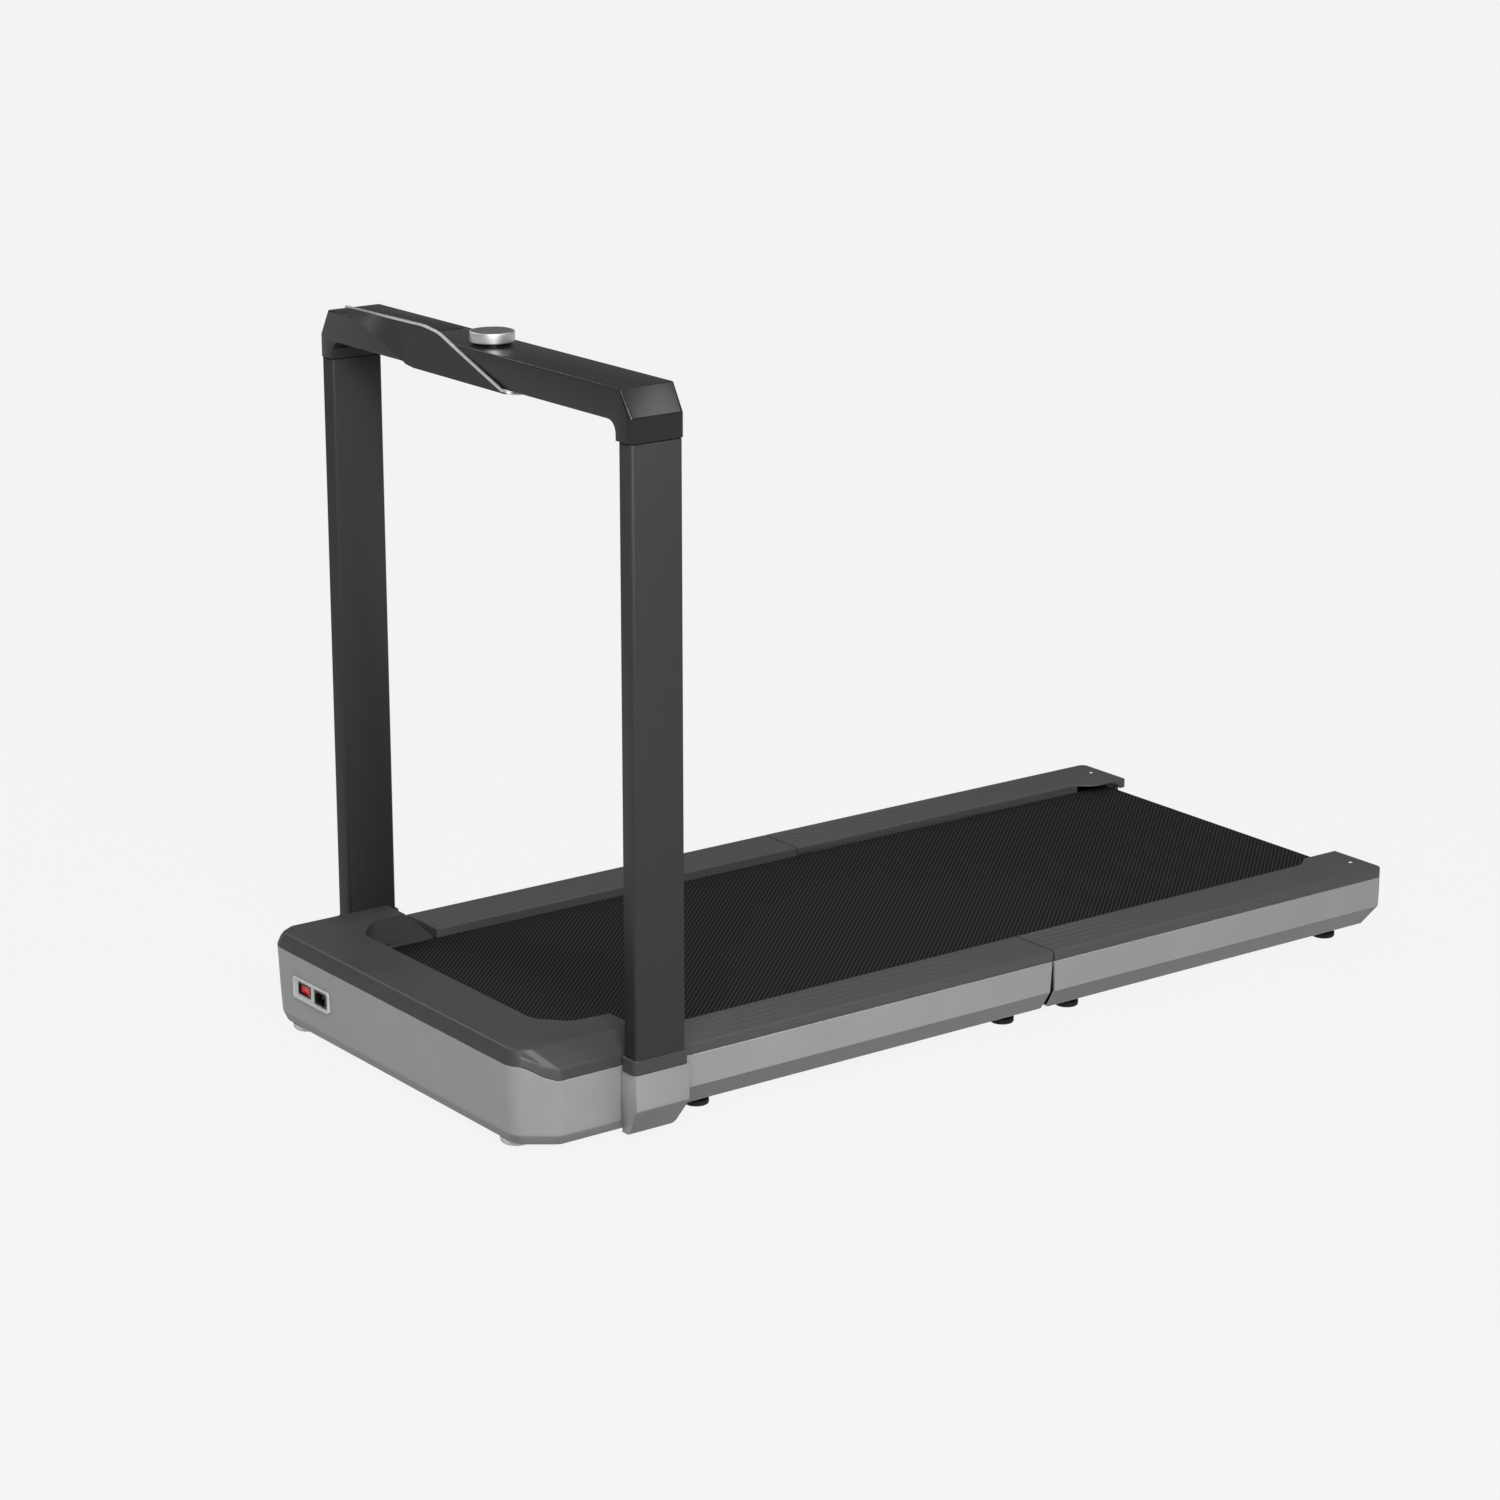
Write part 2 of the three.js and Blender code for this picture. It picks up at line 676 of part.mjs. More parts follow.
function deckFoot(x, y) {
  const top = RAIL.bottom - GAP;
  const profile = [[0, 0], [14.5, 0], [16.5, 2], [16.5, 8], [11.5, 9], [11.5, top], [0, top]];
  return turned("z", profile, [x, y, 0], 28);
}

// Plate that carries the rear roller's shaft, with a round boss beside the belt.
function rearBracket() {
  const disc = rod("x", 28.8, [244.6, 248.6], [ROLLER.rearY, ROLLER_Z], 36);
  const arm = box([248.5, FRAME.outer], [1424 + GAP, 1470], [52, 88]);
  const boss = rod("x", 2.2, [242.4, 245], [ROLLER.rearY + 24, ROLLER_Z + 13], 12);
  return cut(join(disc, arm, boss), rod("x", 5.3, [240, 272], [ROLLER.rearY, ROLLER_Z], 24));
}

// ---------------------------------------------------------------- handrail
// A bar with the upright's rounded section, drawn in by an inset.
function uprightBar(inset, heights) {
  const { inner, outer, front, rear } = UPRIGHT;
  const radius = 7 - inset;
  return prism("z", [
    [inner + inset, front + inset, radius],
    [outer - inset, front + inset, radius],
    [outer - inset, rear - inset, radius],
    [inner + inset, rear - inset, radius],
  ], heights);
}

function upright() {
  const { bottom, top, wall } = UPRIGHT;
  return cut(uprightBar(0, [bottom, top]), uprightBar(wall, [bottom - 1, top + 1]));
}

// Steel arm inside the foot of an upright, which turns on the pivot pin.
function hingeArm() {
  const { inner, outer, halfDepth, bottom, top } = ARM;
  const bar = box([inner, outer], [UPRIGHT_Y - halfDepth, UPRIGHT_Y + halfDepth], [bottom, top]);
  return cut(bar, rod("x", PIN_RADIUS + GAP, [inner - 1, outer + 1], [UPRIGHT_Y, PIVOT_Z]));
}

// Plug that joins the head of an upright to the crossbar's corner.
function cornerSpigot() {
  return uprightBar(UPRIGHT.wall + SPIGOT.clearance, [SPIGOT.bottom, SPIGOT.top]);
}

function collar() {
  const ring = prism("z", [
    [330.2, 140.8, 5],
    [WIDTH / 2, 140.8, 8],
    [WIDTH / 2, 224, 8],
    [330.2, 224, 5],
  ], [93.3, UPRIGHT.bottom - GAP]);
  const room = box([ARM.inner - 0.5, ARM.outer + 0.5], [UPRIGHT_Y - 23.5, UPRIGHT_Y + 23.5], [90, 120]);
  return cut(ring, room);
}

function boot() {
  const side = prism("x", [
    [142.5, BASE.floor],
    [211, BASE.floor, 12],
    [224, 42, 14],
    [224.5, 93],
    [142.5, 93],
  ], [RAIL.outer + 0.6, WIDTH / 2]);
  const section = prism("y", [
    [RAIL.outer + 0.6, BASE.floor],
    [345, BASE.floor, 4],
    [WIDTH / 2, 45, 6],
    [WIDTH / 2, 93],
    [RAIL.outer + 0.6, 93],
  ], [140, 226]);
  const hollow = box([333, 358.3], [150, 214], [43, 95]);
  const pinBore = rod("x", PIN_RADIUS + 0.5, [320, 340], [UPRIGHT_Y, PIVOT_Z]);
  return cut(common(side, section), hollow, pinBore);
}

function pivotPin() {
  return rod("x", PIN_RADIUS, [289, 357], [UPRIGHT_Y, PIVOT_Z]);
}

// The crossbar and its two corners are one moulded arch, hollow and open where the uprights enter.
function crossbar() {
  const { top, underside, capBottom, capInner, fillet, wall, front, rear } = BAR;
  const half = WIDTH / 2;
  const arch = (inset, foot) => [
    [-half + inset, foot],
    [-half + inset, 928 - 0.3 * inset],
    [-339 + 0.5 * inset, top - inset, 4],
    [339 - 0.5 * inset, top - inset, 4],
    [half - inset, 928 - 0.3 * inset],
    [half - inset, foot],
    [capInner + inset, foot],
    [capInner + inset, underside + inset, fillet],
    [-capInner - inset, underside + inset, fillet],
    [-capInner - inset, foot],
  ];
  const plan = (inset) => prism("z", [
    [-half + inset, front + inset, BAR.edge - inset],
    [half - inset, front + inset, BAR.edge - inset],
    [half - inset, rear - inset, BAR.edge - inset],
    [-half + inset, rear - inset, BAR.edge - inset],
  ], [capBottom - 20, top + 20]);
  const outside = common(prism("y", arch(0, capBottom), [front, rear], 6), plan(0));
  const hollow = common(prism("y", arch(wall, capBottom - 10), [front, rear], 6), plan(wall));
  return cut(outside, hollow);
}

// The rim of the console, from the left end over the bar's top, then down across its front.
const RIM = [
  [-339, 169, 963.5],
  [-105, 145, 974],
  [-66, 143.5, 970],
  [-38, 140.5, 962.3],
  [97, 136, 918.5],
  [103, 157.4, 917],
].map((point) => new THREE.Vector3(...point));
// The console's lower edge, from the bar's top edge down its front and along under it.
const CONSOLE_FOOT = [
  [-282, 141.2, 962.4],
  [-150, 141.2, 920.6],
  [-123, 138, 917.5],
].map((point) => new THREE.Vector3(...point));

const barRoom = () => box([-400, 400], [BAR.front - GAP, 240], [BAR.underside - GAP, BAR.top + GAP]);

// A strip that follows the rim, its section given as y and z offsets.
function rimStrip([y0, y1], [z0, z1]) {
  const corners = (point) => [-1.5, 1.5].flatMap((dx) => [y0, y1].flatMap((dy) => [z0, z1].map(
    (dz) => new THREE.Vector3(point.x + dx, point.y + dy, point.z + dz),
  )));
  const lengths = RIM.slice(1).map((point, i) => hull([...corners(RIM[i]), ...corners(point)]));
  return join(...lengths);
}

function consolePanel() {
  const face = [...RIM.slice(0, 5), ...CONSOLE_FOOT];
  const back = face.map((point) => point.clone().add(new THREE.Vector3(0, 3, 0)));
  return biggest(cut(hull([...face, ...back]), barRoom(), rimStrip([-3, 3.8], [-3.7, 3])));
}

function consoleTrim() {
  return biggest(cut(rimStrip([-0.6, 3.4], [-3.4, 0.4]), barRoom()));
}

function displayLens() {
  return prism("z", [
    [-325, 177, 5],
    [-118, 177, 5],
    [-118, 216, 5],
    [-325, 216, 5],
  ], [BAR.top + GAP, BAR.top + 2.6]);
}

function knobBase() {
  const { neckRadius, bottom } = KNOB;
  return rod("z", neckRadius, [BAR.top + GAP, bottom - GAP], [0, UPRIGHT_Y], 48);
}

function knobRing() {
  const { radius, bottom, top } = KNOB;
  return turned("z", [
    [0, bottom],
    [radius - 1.2, bottom],
    [radius, bottom + 1.2],
    [radius, top - 0.8],
    [radius - 0.8, top],
    [radius - 2.2, top],
    [radius - 2.2, bottom + 4],
    [0, bottom + 4],
  ], [0, UPRIGHT_Y, 0], 64);
}

function knobButton() {
  const { buttonRadius, top } = KNOB;
  return turned("z", [
    [0, top - 7],
    [buttonRadius, top - 7],
    [buttonRadius, top - 1.8],
    [buttonRadius - 0.8, top - 1.2],
    [0, top - 1.2],
  ], [0, UPRIGHT_Y, 0], 64);
}

// ---------------------------------------------------------------- assembly
const base = assembly(machine);
add(base, "base_lower_shell", baseLowerShell(), SILVER_PAINT);
add(base, "base_top_cover", baseTopCover(), DARK_PLASTIC);
add(base, "base_foot_left", baseFoot(-BASE.footX), PALE_PLASTIC);
add(base, "base_foot_right", baseFoot(BASE.footX), PALE_PLASTIC);
add(base, "transport_wheel_left", transportWheel(-1), BLACK_RUBBER);
add(base, "transport_wheel_right", transportWheel(1), BLACK_RUBBER);
add(base, "power_entry_plate", entryPlate(), PALE_PLASTIC);
add(base, "switch_body", switchBody(), BLACK_PLASTIC);
add(base, "switch_rocker", rocker(), RED_PLASTIC);
add(base, "power_inlet", powerInlet(), BLACK_PLASTIC);
addPair(base, "pivot_pin", pivotPin(), STEEL);

const drive = assembly(base);
add(drive, "motor", motor(), MOTOR_PAINT);
add(drive, "motor_pulley", motorPulley(), STEEL);
add(drive, "drive_belt", driveBelt(), BLACK_RUBBER);
add(drive, "motor_controller", controllerBox(), BLACK_PLASTIC);
add(drive, "front_roller", roller(ROLLER.frontY, -275, 298, 6), STEEL);
add(drive, "front_roller_pulley", rollerPulley(), BLACK_STEEL);

const frontDeck = assembly(machine);
add(frontDeck, "front_frame", frontFrame(), BLACK_STEEL);
add(frontDeck, "front_deck_board", deckBoard(120, FOLD_Y - 1.5), BOARD);
add(frontDeck, "belt_front", beltHalf(ROLLER.frontY, FOLD_Y - 0.5), BELT_RUBBER);
addPair(frontDeck, "front_rail_cover", railCover(frontRailSide, RAIL.front, FOLD_Y), DARK_ALUMINIUM);
addPair(frontDeck, "front_rail_skirt", railSkirt(frontRailSide, FOLD_Y), SILVER_PAINT);

const rearDeck = assembly(machine);
add(rearDeck, "rear_frame", rearFrame(), BLACK_STEEL);
add(rearDeck, "rear_deck_board", deckBoard(FOLD_Y + 1.5, 1394), BOARD);
add(rearDeck, "belt_rear", beltHalf(ROLLER.rearY, FOLD_Y + 0.5), BELT_RUBBER);
add(rearDeck, "rear_roller", roller(ROLLER.rearY, -268, 268, 5), STEEL);
addPair(rearDeck, "rear_roller_bracket", rearBracket(), BLACK_PLASTIC);
addPair(rearDeck, "rear_rail_cover", railCover(rearRailSide, FOLD_Y, LENGTH), DARK_ALUMINIUM);
addPair(rearDeck, "rear_rail_skirt", railSkirt(rearRailSide, LENGTH), SILVER_PAINT);

const footRows = [
  { group: frontDeck, name: "front_deck_foot_a", y: 291 },
  { group: frontDeck, name: "front_deck_foot_b", y: 805 },
  { group: rearDeck, name: "rear_deck_foot_a", y: 921 },
  { group: rearDeck, name: "rear_deck_foot_b", y: 1413 },
];
for (const { group, name, y } of footRows) {
  addPair(group, name, deckFoot(283, y), BLACK_RUBBER);
}

const handrail = assembly(machine);
addPair(handrail, "upright", upright(), DARK_ALUMINIUM);
addPair(handrail, "hinge_arm", hingeArm(), BLACK_STEEL);
addPair(handrail, "corner_spigot", cornerSpigot(), BLACK_PLASTIC);
addPair(handrail, "upright_collar", collar(), DARK_PLASTIC);
addPair(handrail, "upright_boot", boot(), SILVER_PAINT);
add(handrail, "crossbar", crossbar(), DARK_PLASTIC);
add(handrail, "console_panel", consolePanel(), DARK_PLASTIC);
add(handrail, "console_trim", consoleTrim(), TRIM_METAL);
add(handrail, "display_lens", displayLens(), BLACK_PLASTIC);
add(handrail, "knob_base", knobBase(), BLACK_PLASTIC);
add(handrail, "knob_ring", knobRing(), BRUSHED_METAL);
add(handrail, "knob_button", knobButton(), BLACK_PLASTIC);

export default treadmill;
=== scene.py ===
import math

import bmesh
import bpy
from mathutils import Matrix, Vector


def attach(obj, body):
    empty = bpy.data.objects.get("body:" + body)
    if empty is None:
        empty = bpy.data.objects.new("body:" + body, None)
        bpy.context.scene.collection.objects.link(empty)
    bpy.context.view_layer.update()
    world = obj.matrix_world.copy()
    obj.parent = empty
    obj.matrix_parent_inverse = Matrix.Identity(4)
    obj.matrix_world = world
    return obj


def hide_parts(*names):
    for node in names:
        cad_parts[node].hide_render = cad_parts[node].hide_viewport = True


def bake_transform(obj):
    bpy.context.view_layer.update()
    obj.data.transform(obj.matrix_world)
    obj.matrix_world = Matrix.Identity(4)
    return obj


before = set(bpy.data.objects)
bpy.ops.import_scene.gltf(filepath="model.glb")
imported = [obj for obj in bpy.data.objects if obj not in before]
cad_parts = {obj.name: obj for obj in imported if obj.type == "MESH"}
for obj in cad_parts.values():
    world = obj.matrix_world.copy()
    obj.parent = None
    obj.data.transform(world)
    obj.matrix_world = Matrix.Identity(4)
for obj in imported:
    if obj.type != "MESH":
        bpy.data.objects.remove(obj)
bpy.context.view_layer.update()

# ---------------------------------------------------------------- driving dimensions, as in the CAD
# Millimetres. x runs across the machine, y is counted from the front face of the base, z is up.
MM = 0.001
LENGTH = 1483.5
HALF_WIDTH = 361.5
FOLD = 857.0
SEAM = 0.3

# Motor base: the plan of its front corner, the plateau on its cover, and the line between silver and dark.
BASE_HALF, BASE_FRONT, BASE_REAR, BASE_FLOOR, BASE_WALL = 329, 0.6, 229, 9.5, 3
FACET_SIDE, FACET_FRONT = 51, 290
PLATEAU_HALF, PLATEAU_FRONT, PLATEAU_TOP = 296, 9, 136
SIDE_LINE, FRONT_LINE = 98, 116
BASE_FOOT_X, BASE_FOOT_Y = 257, 31

# Power entry on the base's front, as (left, right, bottom, top), and the rocker's axis.
ENTRY = (-243, -151, 56, 86)
SWITCH = (-228.3, -197.1, 64.5, 81)
INLET = (-186.5, -155.9, 62, 82.7)
ROCKER_PIVOT = (-212.7, 9.8, 72.75)

# Deck: rails, belt and rollers.
RAIL_OUTER, RAIL_INNER, RAIL_TOP, COLOUR_LINE, CHAMFER_TOP, RAIL_BOTTOM = 329, 249, 103, 88.4, 45, 17
RAIL_FRONT, RAIL_WALL, SOLE_OUTER, SOLE_INNER = 233, 3, 312, 264
TAIL_KNEE, TAIL_LOW, TAIL_MIDDLE = 47, 24, 6.5
WIDE_INNER, WIDE_START, WIDE_FULL = 230, 1397, 1422
BELT_HALF, BELT_THICK, BELT_EDGE = 243, 2.2, 1.2
ROLLER_R, FRONT_ROLLER, REAR_ROLLER, ROLLER_Z, ROLLER_ROOM_R = 19.7, 93, 1450, 71.1, 29.7
DECK_FOOT_X = 283
GROOVES = 4

# Handrail: uprights, their collars and boots, and the bar across the top.
UPRIGHT_Y, PIVOT_Z, PIN_HOLE_R = 181.5, 60, 7.5
POST_INNER, POST_OUTER, POST_FRONT, POST_REAR, POST_WALL = 332.6, 361, 143.25, 219.75, 2.5
POST_BOTTOM, POST_TOP = 112.8, 895.4
COLLAR_INNER, COLLAR_FRONT, COLLAR_REAR = 330.2, 140.8, 224
BOOT_INNER, BOOT_FRONT, BOOT_REAR, BOOT_TOP = 329.6, 142.5, 224.5, 93
BAR_FRONT, BAR_REAR, BAR_TOP, BAR_UNDERSIDE, BAR_WALL = 141.5, 222, 962, 921, 3
CAP_INNER, CAP_BOTTOM, CAP_SHOULDER, CAP_TOP_HALF = 329.7, 897, 928, 339
CONSOLE_SKIN = 3


def metres(x, y, z):
    return Vector((x * MM, (y - LENGTH / 2) * MM, z * MM))


# ---------------------------------------------------------------- camera
camera_data = bpy.data.cameras.new("camera")
camera_data.lens = 95.13
camera_data.sensor_width = 36
camera_data.clip_end = 50
camera = bpy.data.objects.new("camera", camera_data)
camera.location = (4.17657, -3.2445, 1.86466)
camera.rotation_euler = (math.radians(90 - 16.18), 0, math.radians(53.51))
bpy.context.scene.collection.objects.link(camera)
bpy.context.scene.camera = camera


# ---------------------------------------------------------------- materials
class Nodes:
    """A material with a Principled surface, and short calls that add and link nodes."""

    def __init__(self, name, colour, roughness, metallic=0.0, **sockets):
        self.material = bpy.data.materials.new(name)
        self.material.use_nodes = True
        self.tree = self.material.node_tree
        self.surface = self.tree.nodes["Principled BSDF"]
        self.surface.inputs["Base Color"].default_value = (*colour, 1)
        self.surface.inputs["Roughness"].default_value = roughness
        self.surface.inputs["Metallic"].default_value = metallic
        for socket, value in sockets.items():
            self.surface.inputs[socket.replace("_", " ")].default_value = value
        self.colour = colour

    def add(self, kind, **settings):
        node = self.tree.nodes.new("ShaderNode" + kind)
        for key, value in settings.items():
            if hasattr(node, key):
                setattr(node, key, value)
            else:
                node.inputs[key.replace("_", " ")].default_value = value
        return node

    def link(self, source, target):
        self.tree.links.new(source, target)

    def place(self, scale=(1, 1, 1), kind="Object"):
        mapping = self.add("Mapping")
        mapping.inputs["Scale"].default_value = scale
        self.link(self.add("TexCoord").outputs[kind], mapping.inputs["Vector"])
        return mapping.outputs["Vector"]

    def noise(self, vector, scale, detail=3.0, roughness=0.55):
        node = self.add("TexNoise", Scale=scale, Detail=detail, Roughness=roughness)
        self.link(vector, node.inputs["Vector"])
        return node.outputs["Fac"]

    def span(self, value, low, high, from_low=0.3, from_high=0.7):
        node = self.add("MapRange")
        node.inputs["From Min"].default_value = from_low
        node.inputs["From Max"].default_value = from_high
        node.inputs["To Min"].default_value = low
        node.inputs["To Max"].default_value = high
        self.link(value, node.inputs["Value"])
        return node.outputs["Result"]

    def math(self, operation, a, b):
        node = self.add("Math", operation=operation)
        for socket, value in zip(node.inputs, (a, b)):
            if isinstance(value, (int, float)):
                socket.default_value = value
            else:
                self.link(value, socket)
        return node.outputs[0]

    def shade(self, value, dark, light):
        """Base colour between two multiples of the plain colour."""
        ramp = self.add("ValToRGB")
        ramp.color_ramp.elements[0].position = 0.3
        ramp.color_ramp.elements[1].position = 0.7
        ramp.color_ramp.elements[0].color = (*[c * dark for c in self.colour], 1)
        ramp.color_ramp.elements[1].color = (*[c * light for c in self.colour], 1)
        self.link(value, ramp.inputs["Fac"])
        self.link(ramp.outputs["Color"], self.surface.inputs["Base Color"])

    def paint_shade_below(self, share):
        """Painted shade: darkens the base colour on faces of the piece that are turned down, standing in for
        the light that does not reach them from below.
        """
        parts = self.add("SeparateXYZ")
        self.link(self.add("TexCoord").outputs["Normal"], parts.inputs["Vector"])
        factor = self.span(parts.outputs["Z"], share, 1, -0.42, -0.1)
        plain = self.surface.inputs["Base Color"].links[0].from_socket
        mixed = self.add("VectorMath", operation="SCALE")
        self.link(plain, mixed.inputs[0])
        self.link(factor, mixed.inputs["Scale"])
        self.link(mixed.outputs["Vector"], self.surface.inputs["Base Color"])

    def rough(self, value, low, high):
        self.link(self.span(value, low, high), self.surface.inputs["Roughness"])

    def bump(self, height, distance, strength=1.0):
        node = self.add("Bump", Strength=strength, Distance=distance)
        self.link(height, node.inputs["Height"])
        self.link(node.outputs["Normal"], self.surface.inputs["Normal"])


def moulded(name, colour, roughness, metallic=0.0, grain=1400, depth=0.00006, mottle=0.05, under=1.0,
            **sockets):
    """Paint or moulded plastic: fine even grain, faint broad variation, and painted shade that darkens faces
    turned towards the floor.
    """
    look = Nodes(name, colour, roughness, metallic, **sockets)
    where = look.place()
    broad = look.noise(where, 9)
    look.shade(broad, 1 - mottle, 1 + mottle)
    fine = look.noise(where, grain, 2)
    mixed = look.math("ADD", look.math("MULTIPLY", broad, 0.6), look.math("MULTIPLY", fine, 0.4))
    look.rough(mixed, roughness * 0.88, roughness * 1.12)
    look.bump(fine, depth)
    # painted shade: faces turned to the floor get a darker base colour in place of real shading
    if under < 1:
        look.paint_shade_below(under)
    return look.material


def drawn(name, colour, roughness, metallic, stretch, depth=0.00004, mottle=0.06, **sockets):
    """Brushed or extruded metal: long fine lines along one axis."""
    look = Nodes(name, colour, roughness, metallic, **sockets)
    where = look.place(stretch)
    lines = look.noise(where, 900, 4, 0.7)
    look.shade(lines, 1 - mottle, 1 + mottle)
    look.rough(lines, roughness * 0.8, roughness * 1.25)
    look.bump(lines, depth)
    return look.material


def brushed_ring(name, colour, roughness):
    """Turned metal: fine lines run round the vertical axis of the knob."""
    look = Nodes(name, colour, roughness, 1.0)
    parts = look.add("SeparateXYZ")
    look.link(look.place(), parts.inputs["Vector"])
    lined = look.add("CombineXYZ")
    look.link(parts.outputs["Z"], lined.inputs["Z"])
    lines = look.noise(lined.outputs["Vector"], 2600, 3, 0.7)
    look.shade(lines, 0.93, 1.05)
    look.rough(lines, roughness * 0.8, roughness * 1.3)
    look.bump(lines, 0.00003)
    return look.material


# The belt's pattern in its own UV metres: pitches, and the direction that a rib's pitch is measured in.
RIB_PITCH, BEAD_PITCH = 0.0054, 0.0042
RIB_ACROSS, RIB_ALONG = 0.7376, 0.6752


def ribbed_belt(name, colour):
    """Black running belt: diagonal ribs, each broken into beads, over a fine woven ground."""
    look = Nodes(name, colour, 0.6, Specular_IOR_Level=0.14)
    parts = look.add("SeparateXYZ")
    look.link(look.place(kind="UV"), parts.inputs["Vector"])
    across, along = parts.outputs["X"], parts.outputs["Y"]

    def wave(operation, across_share, along_share, pitch):
        reach = look.math(operation, look.math("MULTIPLY", across, across_share),
                          look.math("MULTIPLY", along, along_share))
        return look.math("SINE", look.math("MULTIPLY", reach, 2 * math.pi / pitch), 0)

    rib = look.span(wave("ADD", RIB_ACROSS, RIB_ALONG, RIB_PITCH), 0, 1, -0.35, 0.55)
    bead = look.span(wave("SUBTRACT", RIB_ALONG, RIB_ACROSS, BEAD_PITCH), 0.72, 1.0, -1, 1)
    height = look.math("MULTIPLY", rib, bead)
    speckle = look.noise(look.place(), 2500, 2)
    tinted = look.math("ADD", look.math("MULTIPLY", height, 0.9), look.math("MULTIPLY", speckle, 0.1))
    look.shade(tinted, 0.25, 2.6)
    look.rough(height, 0.75, 0.5)
    look.bump(look.math("ADD", height, look.math("MULTIPLY", speckle, 0.15)), 0.0006, 0.9)
    return look.material


def chipboard(name, colour):
    look = Nodes(name, colour, 0.8)
    where = look.place()
    flakes = look.add("TexVoronoi", Scale=260.0)
    look.link(where, flakes.inputs["Vector"])
    mixed = look.math("ADD", look.math("MULTIPLY", flakes.outputs["Distance"], 0.5),
                      look.math("MULTIPLY", look.noise(where, 500), 0.5))
    look.shade(mixed, 0.75, 1.25)
    look.bump(mixed, 0.0001)
    return look.material


def grey(level):
    """Linear value of a grey that shows as this many of 255."""
    share = level / 255
    return ((share + 0.055) / 1.055) ** 2.4 if share > 0.04045 else share / 12.92


def tone(level):
    return (grey(level),) * 3


# The silver carries painted shade: its downward faces, such as the lower chamfers, are darkened to half in
# the colour itself.
SILVER = moulded("silver_paint", tone(127), 0.38, 0.1, grain=1800, depth=0.00004, under=0.5,
                 Specular_IOR_Level=0.35)
DARK = moulded("dark_plastic", tone(54), 0.42, grain=1500, depth=0.00008, Specular_IOR_Level=0.22)
RAIL_DARK = drawn("dark_anodised_rail", tone(62), 0.38, 0.0, (1, 0.02, 1), Specular_IOR_Level=0.25)
UPRIGHT = drawn("dark_anodised_upright", tone(44), 0.4, 0.0, (1, 1, 0.02), Specular_IOR_Level=0.1)
BAR = moulded("bar_plastic", tone(27), 0.21, grain=1600, depth=0.00002, Specular_IOR_Level=0.18)
PANEL = moulded("console_plastic", tone(40), 0.55, grain=1600, depth=0.00003, Specular_IOR_Level=0.15)
GLASS = moulded("display_glass", tone(27), 0.24, grain=300, depth=0.000002, mottle=0.03,
                Specular_IOR_Level=0.18)
GLOSS_BLACK = moulded("gloss_black", tone(18), 0.16, grain=900, depth=0.00001, Specular_IOR_Level=0.3)
KNOB_FACE = moulded("knob_face", tone(76), 0.3, grain=900, depth=0.00001, Specular_IOR_Level=0.3)
SATIN_BLACK = moulded("satin_black", tone(30), 0.42, grain=1500, depth=0.00006, Specular_IOR_Level=0.3)
RUBBER = moulded("black_rubber", tone(26), 0.68, grain=1900, depth=0.00012, mottle=0.12,
                 Specular_IOR_Level=0.25)
PALE = moulded("pale_plastic", tone(170), 0.5, grain=1500, depth=0.00006, Specular_IOR_Level=0.3)
RED = moulded("red_plastic", (0.62, 0.008, 0.008), 0.26, grain=800, depth=0.00002, Specular_IOR_Level=0.3)
RING = brushed_ring("knob_ring_metal", tone(190), 0.44)
TRIM = drawn("trim_metal", tone(185), 0.32, 0.7, (0.02, 1, 1))
STEEL = drawn("steel", tone(160), 0.3, 1.0, (1, 0.05, 0.05))
BLACK_STEEL = moulded("black_steel", tone(40), 0.45, 0.3, grain=1300, depth=0.0001)
SCREW = moulded("screw_metal", tone(235), 0.3, 0.3, grain=1200, depth=0.00003)
MOTOR = moulded("motor_paint", tone(58), 0.45, 0.4, grain=1200)
BELT = ribbed_belt("ribbed_belt", tone(16))
BOARD = chipboard("deck_board", (0.27, 0.17, 0.09))


# ---------------------------------------------------------------- shapes
def outline(corners, steps=8):
    """A closed outline whose corners (a, b, radius) are rounded by arcs."""
    points = []
    for i, corner in enumerate(corners):
        here = Vector(corner[:2])
        radius = corner[2] if len(corner) > 2 else 0
        if not radius:
            points.append(tuple(here))
            continue
        back = (Vector(corners[i - 1][:2]) - here).normalized()
        onward = (Vector(corners[(i + 1) % len(corners)][:2]) - here).normalized()
        half = math.acos(max(-1, min(1, back.dot(onward)))) / 2
        centre = here + (back + onward).normalized() * (radius / math.sin(half))
        start = here + back * (radius / math.tan(half)) - centre
        end = here + onward * (radius / math.tan(half)) - centre
        sweep = math.pi - 2 * half
        for step in range(steps + 1):
            turn = sweep * step / steps
            arm = (start * math.sin(sweep - turn) + end * math.sin(turn)) / math.sin(sweep)
            points.append(tuple(centre + arm))
    return points


def anticlockwise(points):
    area = sum(points[i - 1][0] * points[i][1] - points[i][0] * points[i - 1][1] for i in range(len(points)))
    return points if area > 0 else points[::-1]


def inset(points, amount):
    """An anticlockwise outline drawn in by one amount, or by an amount of its own at every point."""
    amounts = amount if isinstance(amount, list) else [amount] * len(points)
    drawn_in = []
    for i, point in enumerate(points):
        here = Vector(point)
        before = (here - Vector(points[i - 1])).normalized()
        after = (Vector(points[(i + 1) % len(points)]) - here).normalized()
        first = Vector((-before.y, before.x))
        second = Vector((-after.y, after.x))
        share = first + second
        share = share / max(0.25, share.length_squared / 2)
        drawn_in.append(tuple(here + share * amounts[i]))
    return drawn_in


